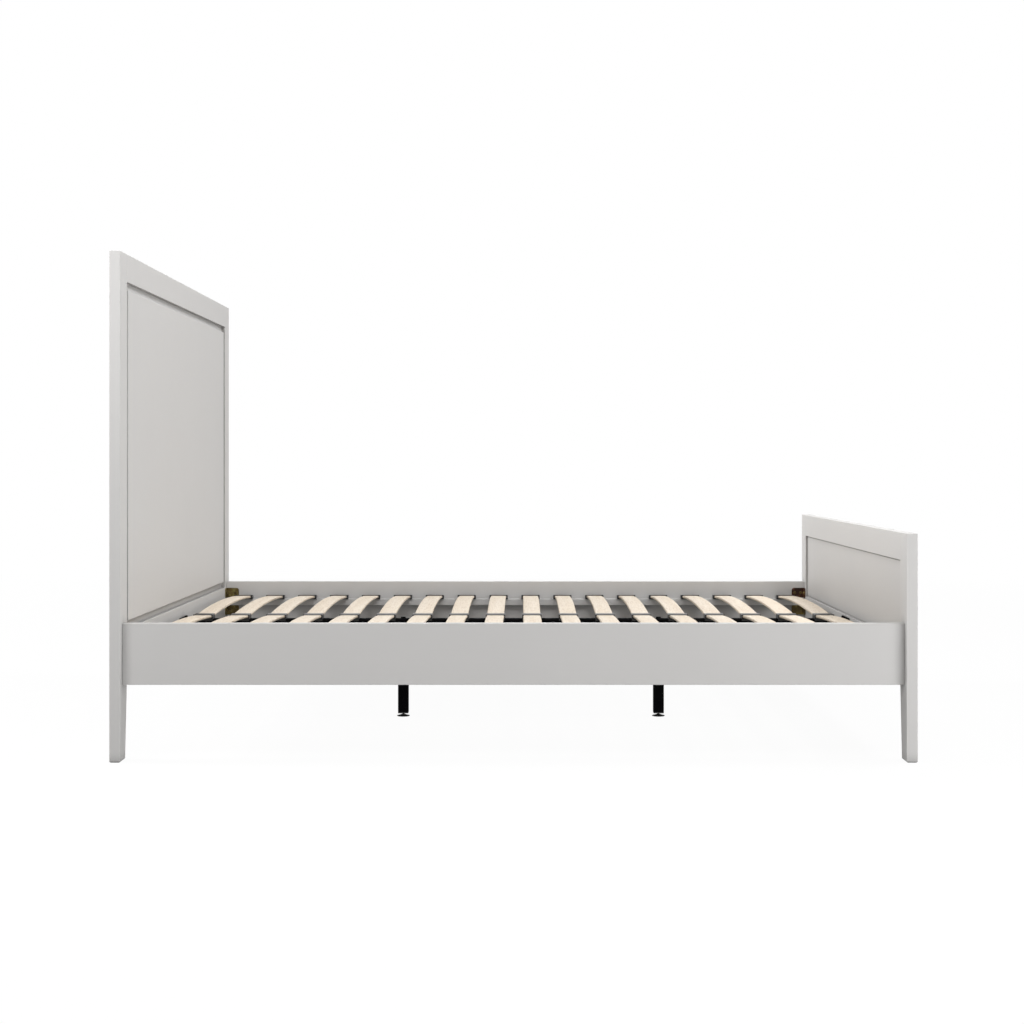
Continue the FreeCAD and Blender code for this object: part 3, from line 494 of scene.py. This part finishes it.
def moulded_plastic(name, dark, light, grit):
    """Moulded plastic with a fine spark-eroded texture."""
    material, tree, shader, place = new_material(name, 0.5)
    fine = noise(tree, place, grit, 2.0)
    cloud = noise(tree, place, 25.0, 2.0)
    tree.links.new(blend_colours(tree, cloud, dark, light), shader.inputs["Base Color"])
    tree.links.new(between(tree, fine, 0.30, 0.45), shader.inputs["Roughness"])
    add_bump(tree, shader, fine, 0.05 * MM)
    return material


def powder_coat():
    """Black powder coat with its orange-peel skin."""
    material, tree, shader, place = new_material("black_steel", 0.02)
    peel = noise(tree, place, 420.0, 2.0)
    cloud = noise(tree, place, 12.0, 2.0)
    tree.links.new(blend_colours(tree, cloud, *COAT_TONES), shader.inputs["Base Color"])
    tree.links.new(between(tree, peel, 0.85, 0.98), shader.inputs["Roughness"])
    add_bump(tree, shader, peel, 0.06 * MM)
    return material


def leveller_finish():
    """A black moulded pad, and a blackened steel stud above it."""
    material, tree, shader, place = new_material("leveller", 0.3)
    height = node(tree, "ShaderNodeSeparateXYZ", links={"Vector": place}).outputs["Z"]
    steel = maths(tree, "GREATER_THAN", height, LEVELLER_HEIGHT)
    fine = noise(tree, place, 1500.0, 2.0)
    plastic = blend_colours(tree, fine, *PAD_TONES)
    tree.links.new(blend_colours(tree, steel, plastic, STUD_TONE), shader.inputs["Base Color"])
    tree.links.new(steel, shader.inputs["Metallic"])
    tree.links.new(between(tree, fine, 0.45, 0.6), shader.inputs["Roughness"])
    add_bump(tree, shader, fine, 0.03 * MM)
    return material


def passivated_steel(name, roughness, dark, light, stained):
    """Zinc plate passivated to a mottled finish of three tones."""
    material, tree, shader, place = new_material(name)
    patch = noise(tree, place, 95.0, 5.0)
    stain = noise(tree, place, 34.0, 4.0)
    mottled = blend_colours(tree, step_up(tree, patch, 0.42, 0.60), dark, light)
    tree.links.new(
        blend_colours(tree, step_up(tree, stain, 0.46, 0.60), mottled, stained),
        shader.inputs["Base Color"],
    )
    shader.inputs["Metallic"].default_value = 0.8
    fine = noise(tree, place, 800.0, 2.0)
    tree.links.new(between(tree, fine, roughness, roughness + 0.15), shader.inputs["Roughness"])
    add_bump(tree, shader, fine, 0.02 * MM)
    return material


# Copies of one paint that differ in the depth of their painted corner shade; the foot panel's copy
# is also a little darker.
UPRIGHT_PAINT = satin_paint("paint_upright", UPRIGHT_GRAIN)
HEAD_PANEL_PAINT = satin_paint("paint_on_head_panel", PANEL_GRAIN, HEAD_PANEL_SHADE)
FOOT_PANEL_PAINT = satin_paint(
    "paint_on_foot_panel", PANEL_GRAIN, FOOT_PANEL_SHADE, FOOT_PANEL_BRIGHTNESS,
)
NEAR_RAIL_PAINT = satin_paint("paint_on_near_rail", LENGTHWISE_GRAIN, NEAR_RAIL_SHADE)
FAR_RAIL_PAINT = satin_paint(
    "paint_on_far_rail", LENGTHWISE_GRAIN, FAR_RAIL_SHADE,
    heights=CLEAT_HEIGHTS, reach=CLEAT_REACH,
)
BOARD_RAIL_PAINT = satin_paint("paint_across_bed", CROSSWISE_GRAIN)

# The paint of each node, by the first of these words that its name holds
PAINTS = {
    "post": UPRIGHT_PAINT, "headboard_panel": HEAD_PANEL_PAINT,
    "footboard_panel": FOOT_PANEL_PAINT, "side_rail_left": NEAR_RAIL_PAINT,
    "side_rail_right": FAR_RAIL_PAINT, "slat_cleat": FAR_RAIL_PAINT, "rail": BOARD_RAIL_PAINT,
}

BIRCH = birch()
HOLDER_PLASTIC = moulded_plastic("holder_plastic", *HOLDER_TONES, grit=1800.0)
PLUG_PLASTIC = moulded_plastic("plug_plastic", *PLUG_TONES, grit=2200.0)
BLACK_STEEL = powder_coat()
LEVELLER = leveller_finish()
OLIVE_STEEL = passivated_steel("passivated_olive", 0.35, *OLIVE_TONES)
BROWN_STEEL = passivated_steel("passivated_brown", 0.35, *BROWN_TONES)
SCREW_STEEL = passivated_steel("passivated_screw", 0.25, *OLIVE_TONES)


# Slats: a rounded strip spun about the centre of its bow

def make_slats():
    """Two slats in every row, each standing for its share of a row's node."""
    half_angle = math.asin(SLAT_CHORD / 2 / SLAT_RADIUS)
    centre = Vector((0, SLAT_MIDDLE, SLAT_CENTRE_HEIGHT))
    bpy.ops.object.select_all(action="DESELECT")
    bpy.ops.mesh.primitive_plane_add(size=1, location=(0, 0, 0))
    strip = bpy.context.object
    strip.name = strip.data.name = "slat_pattern"
    bpy.ops.object.mode_set(mode="EDIT")
    bpy.ops.transform.resize(value=(SLAT_HIGH.x - SLAT_LOW.x, SLAT_THICKNESS, 1))
    bpy.ops.mesh.bevel(offset=SLAT_EDGE_RADIUS, segments=4, affect="VERTICES")
    bpy.ops.object.mode_set(mode="OBJECT")
    upright = Matrix.Rotation(math.pi / 2, 4, "X")
    at_top = Matrix.Translation((
        (SLAT_LOW.x + SLAT_HIGH.x) / 2, SLAT_MIDDLE, centre.z + SLAT_RADIUS - SLAT_THICKNESS / 2,
    ))
    to_end = (
        Matrix.Translation(centre) @ Matrix.Rotation(half_angle, 4, "X")
        @ Matrix.Translation(-centre)
    )
    strip.data.transform(to_end @ at_top @ upright)
    bpy.ops.object.mode_set(mode="EDIT")
    bpy.ops.mesh.select_all(action="SELECT")
    bpy.ops.mesh.spin(steps=SLAT_STEPS, angle=2 * half_angle, center=centre, axis=(1, 0, 0))
    round_edges(
        strip, SLAT_END_RADIUS,
        lambda edge: any(len(face.verts) > 4 for face in edge.link_faces), segments=2,
    )
    end_piece(strip)
    mirror = Matrix.Scale(-1, 4, (0, 1, 0))
    for row in range(SLAT_COUNT):
        move = Matrix.Translation((row * SLAT_PITCH, 0, 0))
        for side, turn in ((RIGHT, Matrix.Identity(4)), (LEFT, mirror)):
            piece = copy_piece(strip, f"slat_{SIDE_NAMES[side]}_{row + 1:02d}", move @ turn)
            mount(piece, "bed_frame", "birch_slat", BIRCH, f"slat_pair_{row + 1:02d}")
    bpy.data.objects.remove(strip)


# Slat holders

def is_mouth(face, y):
    """Whether a face is the upright end of a holder at this place."""
    return near(face.calc_center_median().y, y) and abs(face.normal.y) > SAME_DIRECTION


def open_socket(low, high, side_wall):
    """Insets the chosen end face of a holder, with its side walls thicker than the rest."""
    bpy.ops.mesh.inset(thickness=HOLDER_WALL, depth=0)
    width = high.x - low.x
    share = (width - 2 * side_wall) / (width - 2 * HOLDER_WALL)
    bpy.ops.transform.resize(value=(share, 1, 1), center_override=(low + high) / 2)


def make_holders():
    """The outer holders: a socket with a wedge-shaped roof and two rounded corners."""
    left = HOLDER_LOW.x
    low = Vector((left, HOLDER_LOW.y, DECK))
    high = Vector((left + HOLDER_WIDTH, HOLDER_HIGH.y, DECK + HOLDER_END_HEIGHT))
    holder = start_block("holder_pattern", low, high)
    pick(holder, "VERT", lambda vert: near(vert.co.y, low.y) and near(vert.co.z, high.z))
    bpy.ops.transform.translate(value=(0, 0, HOLDER_LENGTH * SLAT_SLOPE))
    pick(holder, "FACE", lambda face: is_mouth(face, low.y))
    open_socket(low, high, HOLDER_SIDE_WALL)
    inward = HOLDER_LENGTH - HOLDER_WALL
    bpy.ops.mesh.extrude_region_move(TRANSFORM_OT_translate={"value": (0, inward, 0)})
    back = low.y + inward
    pick(holder, "VERT", lambda vert: near(vert.co.y, back) and vert.co.z > DECK + 2 * HOLDER_WALL)
    bpy.ops.transform.translate(value=(0, 0, -inward * SLAT_SLOPE))
    round_edges(
        holder, HOLDER_CORNER,
        lambda edge: runs_along(edge, "z") and near(middle(edge).y, high.y), segments=5,
    )
    round_edges(
        holder, HOLDER_EDGE,
        lambda edge: middle(edge).z > DECK + HOLDER_END_HEIGHT - MM and not edge.is_boundary
        and edge.calc_face_angle(0) > CORNER_ANGLE and middle(edge).y > low.y + MM, segments=2,
    )
    end_piece(holder)
    mirror = Matrix.Scale(-1, 4, (0, 1, 0))
    for row in range(SLAT_COUNT):
        move = Matrix.Translation((row * SLAT_PITCH, 0, 0))
        for side, turn in ((RIGHT, Matrix.Identity(4)), (LEFT, mirror)):
            name = SIDE_NAMES[side]
            piece = copy_piece(holder, f"slat_holder_{name}_{row + 1:02d}", move @ turn)
            mount(piece, "bed_frame", "slat_holder", HOLDER_PLASTIC, f"slat_holders_{name}")
    bpy.data.objects.remove(holder)


def make_centre_holders():
    """The double holders: two sockets back to back, with lips that clip over the centre rail."""
    half = CENTRE_HOLDER_HALF
    left = HOLDER_LOW.x + HOLDER_SIDE_WALL - CENTRE_SIDE_WALL
    right = HOLDER_LOW.x + HOLDER_WIDTH - HOLDER_SIDE_WALL + CENTRE_SIDE_WALL
    low = Vector((left, -half, DECK))
    high = Vector((right, half, DECK + HOLDER_END_HEIGHT + half * SLAT_SLOPE))
    holder = start_block("centre_pattern", low, high)
    cut_at("y", 0)
    pick(holder, "VERT", lambda vert: near(vert.co.y, 0) and near(vert.co.z, high.z))
    bpy.ops.transform.translate(value=(0, 0, -half * SLAT_SLOPE))
    web = HOLDER_WALL / 2
    for side in (LEFT, RIGHT):
        pick(holder, "FACE", lambda face: is_mouth(face, side * half))
        open_socket(low, high, CENTRE_SIDE_WALL)
        bpy.ops.mesh.extrude_region_move(
            TRANSFORM_OT_translate={"value": (0, -side * (half - web), 0)},
        )
        pick(
            holder, "VERT",
            lambda vert: near(vert.co.y, side * web) and vert.co.z > DECK + 2 * HOLDER_WALL,
        )
        bpy.ops.transform.translate(value=(0, 0, -(half - web) * SLAT_SLOPE))
    for side in (LEFT, RIGHT):
        cut_at("y", side * CENTRE_LIP_INSIDE)
        pick(
            holder, "FACE",
            lambda face: near(face.calc_center_median().z, DECK)
            and face.normal.z < -SAME_DIRECTION
            and side * face.calc_center_median().y > CENTRE_LIP_INSIDE,
        )
        bpy.ops.mesh.extrude_region_move(
            TRANSFORM_OT_translate={"value": (0, 0, -CENTRE_LIP_DEPTH)},
        )
    round_edges(
        holder, HOLDER_EDGE,
        lambda edge: middle(edge).z > DECK + HOLDER_END_HEIGHT - MM
        and edge.calc_face_angle(0) > CORNER_ANGLE and runs_along(edge, "y")
        and abs(middle(edge).x - (left + right) / 2) > (right - left) / 2 - MM, segments=2,
    )
    end_piece(holder)
    for row in range(SLAT_COUNT):
        move = Matrix.Translation((row * SLAT_PITCH, 0, 0))
        piece = copy_piece(holder, f"centre_holder_{row + 1:02d}", move)
        mount(piece, "bed_frame", "slat_holder", HOLDER_PLASTIC, "centre_holders")
    bpy.data.objects.remove(holder)


# Corner brackets

def bracket_pattern():
    """A bent plate with its corner at the origin, one flange along +X and one along -Y."""
    low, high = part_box("corner_brackets_head_right")
    rail_flange, post_flange = high.x - low.x, high.y - low.y
    half_height = BRACKET_HEIGHT / 2
    plate = start_block(
        "bracket_pattern",
        Vector((0, -BRACKET_THICKNESS, -half_height)), Vector((rail_flange, 0, half_height)),
    )
    cut_at("x", BRACKET_THICKNESS)
    pick(
        plate, "FACE",
        lambda face: face.normal.y < -SAME_DIRECTION
        and face.calc_center_median().x < BRACKET_THICKNESS,
    )
    bpy.ops.mesh.extrude_region_move(
        TRANSFORM_OT_translate={"value": (0, BRACKET_THICKNESS - post_flange, 0)},
    )
    round_edges(
        plate, BRACKET_CORNER,
        lambda edge: (runs_along(edge, "y") and near(middle(edge).x, rail_flange))
        or (runs_along(edge, "x") and near(middle(edge).y, -post_flange)), segments=6,
    )
    round_edges(
        plate, BRACKET_BEND,
        lambda edge: runs_along(edge, "z")
        and near(middle(edge).x, 0) and near(middle(edge).y, 0), segments=5,
    )
    round_edges(
        plate, BRACKET_EDGE,
        lambda edge: edge.calc_face_angle(0) > SQUARE_ANGLE
        and not near(middle(edge).x, 0) and not near(middle(edge).y, 0), segments=2,
    )
    return end_piece(plate)


def bracket_places():
    """The end, side, corner name and level of each bracket, and the height of its middle."""
    for end in (HEAD, FOOT):
        for side in (LEFT, RIGHT):
            corner = f"{END_NAMES[end]}_{SIDE_NAMES[side]}"
            low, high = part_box(f"corner_brackets_{corner}")
            yield end, side, corner, "lower", low.z + BRACKET_HEIGHT / 2
            yield end, side, corner, "upper", high.z - BRACKET_HEIGHT / 2


def make_brackets():
    """Two brackets in every corner, over the cleat and under it."""
    pattern = bracket_pattern()
    for end, side, corner, level, height in bracket_places():
        mirror = Matrix.Diagonal((-end, side, 1, 1))
        move = Matrix.Translation((end * BOARD_FACE, side * RAIL_FACE, height))
        piece = copy_piece(pattern, f"bracket_{corner}_{level}", move @ mirror)
        browned = (end, side, level) == (FOOT, RIGHT, "upper")
        steel = BROWN_STEEL if browned else OLIVE_STEEL
        mount(piece, "bed_frame", "passivated_bracket", steel, f"corner_brackets_{corner}")
    bpy.data.objects.remove(pattern)


# Screws and bolts

def snap_hexagon(piece, low, high, across):
    """Moves the points between two heights onto a hexagon."""
    shape = bmesh.from_edit_mesh(piece.data)
    for vert in shape.verts:
        if low - SAME_LENGTH < vert.co.z < high + SAME_LENGTH:
            turn = math.atan2(vert.co.y, vert.co.x) % (2 * math.pi / HEX_SIDES)
            reach = across / 2 / math.cos(turn - math.pi / HEX_SIDES)
            vert.co.xy = Vector(vert.co.xy).normalized() * reach
    bmesh.update_edit_mesh(piece.data)


def grow(radius_from, radius_to, rise):
    """Extrudes the chosen end face to a new radius and height."""
    bpy.ops.mesh.extrude_region_move(TRANSFORM_OT_translate={"value": (0, 0, rise)})
    share = radius_to / radius_from
    bpy.ops.transform.resize(value=(share, share, 1))


def hexagon_fastener(name, across, head_height, flange, flange_height, shank, length):
    """A flanged hexagon head that sits on z = 0, with a round pointed shank under it."""
    bpy.ops.object.select_all(action="DESELECT")
    bpy.ops.mesh.primitive_cylinder_add(
        vertices=ROUND_SIDES, radius=flange / 2, depth=flange_height,
        location=(0, 0, 0), end_fill_type="NGON",
    )
    piece = bpy.context.object
    piece.name = piece.data.name = name
    bpy.ops.object.mode_set(mode="EDIT")
    bpy.ops.transform.translate(value=(0, 0, flange_height / 2))
    corner = across / 2 / math.cos(math.pi / HEX_SIDES)
    pick(piece, "FACE", lambda face: face.normal.z > SAME_DIRECTION)
    grow(flange / 2, corner, 0)
    chamfer = HEAD_CHAMFER_SHARE * head_height
    grow(corner, corner, head_height - flange_height - chamfer)
    snap_hexagon(piece, flange_height, head_height - chamfer, across)
    grow(corner, across / 2, chamfer)
    shape = bmesh.from_edit_mesh(piece.data)
    for vert in shape.verts:
        if near(vert.co.z, head_height):
            vert.co.xy = Vector(vert.co.xy).normalized() * across / 2 * HEAD_TOP_SHARE
    bmesh.update_edit_mesh(piece.data)
    pick(piece, "FACE", lambda face: face.normal.z < -SAME_DIRECTION)
    grow(flange / 2, shank / 2, 0)
    grow(shank / 2, shank / 2, -(length - shank))
    grow(shank / 2, POINT_SHARE * shank / 2, -shank)
    return end_piece(piece)


def drive_bracket_screws(screw):
    """Two screws of each bracket go into the side rail, and one into the post."""
    for end, side, corner, level, height in bracket_places():
        on_rail = side * (RAIL_FACE - BRACKET_THICKNESS)
        on_post = end * (BOARD_FACE - BRACKET_THICKNESS)
        seats = [
            (Vector((end * (BOARD_FACE - reach), on_rail, height)), INWARD_Y[side])
            for reach in BRACKET_RAIL_SCREWS
        ]
        post_seat = Vector((on_post, side * (RAIL_FACE - BRACKET_POST_SCREW), height))
        seats.append((post_seat, INWARD_X[end]))
        for number, (place, turn) in enumerate(seats, 1):
            name = f"screw_{corner}_{level}_{number}"
            piece = copy_piece(screw, name, Matrix.Translation(place) @ turn)
            mount(piece, "bed_frame", "passivated_screw", SCREW_STEEL, "bracket_screws")


def drive_hanger_screws(screw):
    """Two screws hold each hanger to its board."""
    low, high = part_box("hanger_screws")
    reach = high.y - SCREW_ACROSS / 2 / math.cos(math.pi / HEX_SIDES)
    for end in (HEAD, FOOT):
        for side in (LEFT, RIGHT):
            place = Vector((
                end * (BOARD_FACE - HANGER_THICKNESS), side * reach, (low.z + high.z) / 2,
            ))
            name = f"hanger_screw_{END_NAMES[end]}_{SIDE_NAMES[side]}"
            piece = copy_piece(screw, name, Matrix.Translation(place) @ INWARD_X[end])
            mount(piece, "bed_frame", "black_steel", BLACK_STEEL, "hanger_screws")


def make_screws():
    """The hexagon screws of the brackets and of the hangers."""
    screw = hexagon_fastener(
        "screw_pattern", SCREW_ACROSS, SCREW_HEAD_HEIGHT, SCREW_FLANGE, SCREW_FLANGE_HEIGHT,
        SCREW_SHANK, SCREW_LENGTH,
    )
    drive_bracket_screws(screw)
    drive_hanger_screws(screw)
    bpy.data.objects.remove(screw)


def make_bolts():
    """The bolts that hold the legs to the centre rail."""
    bolt = hexagon_fastener(
        "bolt_pattern", BOLT_ACROSS, BOLT_HEAD_HEIGHT, BOLT_FLANGE, BOLT_FLANGE_HEIGHT,
        BOLT_SHANK, BOLT_LENGTH,
    )
    for end in (HEAD, FOOT):
        leg_low, leg_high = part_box(f"centre_leg_{END_NAMES[end]}")
        move = Matrix.Translation(((leg_low.x + leg_high.x) / 2, 0, DECK))
        piece = copy_piece(bolt, f"leg_bolt_{END_NAMES[end]}", move)
        mount(piece, "bed_frame", "black_steel", BLACK_STEEL, "leg_bolts")
    bpy.data.objects.remove(bolt)


# Levelling feet

def make_levellers():
    """A dished pad with a boss, and a threaded stud that rises into the leg's plug."""
    bpy.ops.object.select_all(action="DESELECT")
    bpy.ops.mesh.primitive_cylinder_add(
        vertices=LEVELLER_SIDES, radius=LEVELLER_RADIUS, depth=LEVELLER_RIM, location=(0, 0, 0),
        end_fill_type="NGON",
    )
    pad = bpy.context.object
    pad.name = pad.data.name = "leveller_pattern"
    bpy.ops.object.mode_set(mode="EDIT")
    bpy.ops.transform.translate(value=(0, 0, LEVELLER_RIM / 2))
    pick(pad, "FACE", lambda face: face.normal.z > SAME_DIRECTION)
    radius = LEVELLER_RADIUS
    for share in DOME_SHARES:
        next_radius = LEVELLER_RADIUS - share ** 2 * (LEVELLER_RADIUS - LEVELLER_BOSS_RADIUS)
        grow(radius, next_radius, DOME_STEP)
        radius = next_radius
    grow(radius, LEVELLER_BOSS_RADIUS, DOME_LAST_STEP)
    grow(LEVELLER_BOSS_RADIUS, STUD_RADIUS, 0)
    for _ in range(THREAD_TURNS):
        grow(STUD_RADIUS, STUD_ROOT_RADIUS, THREAD_PITCH / 2)
        grow(STUD_ROOT_RADIUS, STUD_RADIUS, THREAD_PITCH / 2)
    grow(STUD_RADIUS, STUD_ROOT_RADIUS, THREAD_PITCH)
    round_edges(
        pad, LEVELLER_EDGE,
        lambda edge: near(middle(edge).z, 0) and edge.calc_face_angle(0) > SQUARE_ANGLE,
        segments=2,
    )
    end_piece(pad)
    for end in (HEAD, FOOT):
        name = f"leveller_{END_NAMES[end]}"
        low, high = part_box(name)
        move = Matrix.Translation(((low.x + high.x) / 2, 0, low.z))
        piece = copy_piece(pad, f"{name}_foot", move)
        mount(piece, name, "leveller", LEVELLER, name)
    bpy.data.objects.remove(pad)


# The CAD pieces that keep their own shapes

def soften(piece, width):
    """Joins a node's triangles and rounds its hard edges a little, as paint or rolling does."""
    weld = piece.modifiers.new("joined", "WELD")
    weld.merge_threshold = WELD_REACH
    bevel = piece.modifiers.new("softened", "BEVEL")
    bevel.width = width
    bevel.segments = 2
    bevel.limit_method = "ANGLE"
    bevel.angle_limit = HARD_EDGE_ANGLE


def dress_nodes():
    """Paints and softens the nodes that stay."""
    for part in frame["record"]["subparts"]:
        name, slot = part["node"], part["material_slot"]
        piece = frame["nodes"][name]
        if piece.hide_render:
            continue
        if slot == "painted_frame":
            material = next(PAINTS[word] for word in PAINTS if word in name)
            width = PAINTED_EDGE
        elif slot == "black_steel":
            material, width = BLACK_STEEL, STEEL_EDGE
        else:
            material, width = PLUG_PLASTIC, PLUG_EDGE
        piece.data.materials.clear()
        piece.data.materials.append(material)
        soften(piece, width)


# Camera, floor and light

def make_camera():
    """The photograph's camera: its principal point lies off the picture's middle."""
    data = bpy.data.cameras.new("photo_camera")
    data.sensor_width = SENSOR
    data.lens = FOCAL_PIXELS / PICTURE_SIDE * SENSOR
    data.shift_x = (PICTURE_SIDE / 2 - VANISHING_COLUMN) / PICTURE_SIDE
    data.shift_y = (HORIZON_ROW - PICTURE_SIDE / 2) / PICTURE_SIDE
    data.clip_end = 2 * FLOOR_SIDE
    camera = bpy.data.objects.new("photo_camera", data)
    camera.location = CAMERA_PLACE
    camera.rotation_euler = (math.pi / 2, 0, 0)
    bpy.context.scene.collection.objects.link(camera)
    bpy.context.scene.camera = camera


def seen_or_reflected(tree):
    """One for the camera's rays and for reflections, nought for the rays that light things."""
    path = node(tree, "ShaderNodeLightPath")
    return maths(tree, "MAXIMUM", path.outputs["Is Camera Ray"], path.outputs["Is Glossy Ray"])


def make_world():
    """Soft even light, with plain white behind the object and in its reflections."""
    world = bpy.data.worlds.new("studio")
    bpy.context.scene.world = world
    world.use_nodes = True
    tree = world.node_tree
    tree.nodes.clear()
    light = node(tree, "ShaderNodeBackground", {"Color": WHITE, "Strength": SKY_STRENGTH})
    plain = node(tree, "ShaderNodeBackground", {"Color": WHITE, "Strength": 1.0})
    mix = node(
        tree, "ShaderNodeMixShader",
        links={0: seen_or_reflected(tree), 1: light.outputs[0], 2: plain.outputs[0]},
    )
    node(tree, "ShaderNodeOutputWorld", links={"Surface": mix.outputs[0]})


def make_floor():
    """A pale floor that keeps a faint shadow."""
    bpy.ops.object.select_all(action="DESELECT")
    bpy.ops.mesh.primitive_plane_add(size=FLOOR_SIDE, location=(0, 0, 0))
    floor = bpy.context.object
    floor.name = "floor"
    material = bpy.data.materials.new("white_floor")
    material.use_nodes = True
    tree = material.node_tree
    tree.nodes.clear()
    seen = seen_or_reflected(tree)
    shade = between(tree, seen, FLOOR_SHADE_BOUNCED, FLOOR_SHADE_SEEN)
    matt = node(tree, "ShaderNodeBsdfDiffuse", links={"Color": shade})
    glow = node(tree, "ShaderNodeEmission", {"Color": WHITE, "Strength": 1.0})
    place = node(tree, "ShaderNodeTexCoord").outputs["Object"]
    away = node(tree, "ShaderNodeVectorMath", operation="LENGTH", links={0: place}).outputs["Value"]
    whiter = node(
        tree, "ShaderNodeMapRange",
        {"From Min": FLOOR_FADE_START, "From Max": FLOOR_FADE_END, "To Min": FLOOR_WHITE_SHARE},
        {"Value": away},
    ).outputs[0]
    share = maths(tree, "MULTIPLY", seen, whiter)
    mix = node(
        tree, "ShaderNodeMixShader", links={0: share, 1: matt.outputs[0], 2: glow.outputs[0]},
    )
    node(tree, "ShaderNodeOutputMaterial", links={"Surface": mix.outputs[0]})
    floor.data.materials.append(material)


def add_lamp(name, place, aim, size, power):
    """A softbox that points at a place on the bed."""
    data = bpy.data.lights.new(name, "AREA")
    data.shape = "RECTANGLE"
    data.size, data.size_y = size
    data.energy = power
    lamp = bpy.data.objects.new(name, data)
    lamp.location = place
    lamp.rotation_euler = (Vector(aim) - Vector(place)).to_track_quat("-Z", "Y").to_euler()
    lamp.visible_camera = False
    bpy.context.scene.collection.objects.link(lamp)


make_slats()
make_holders()
make_centre_holders()
make_brackets()
make_screws()
make_bolts()
make_levellers()
dress_nodes()
make_camera()
make_world()
make_floor()
for lamp_name, lamp in LAMPS.items():
    add_lamp(lamp_name, *lamp)
bpy.context.scene.view_settings.view_transform = "Standard"
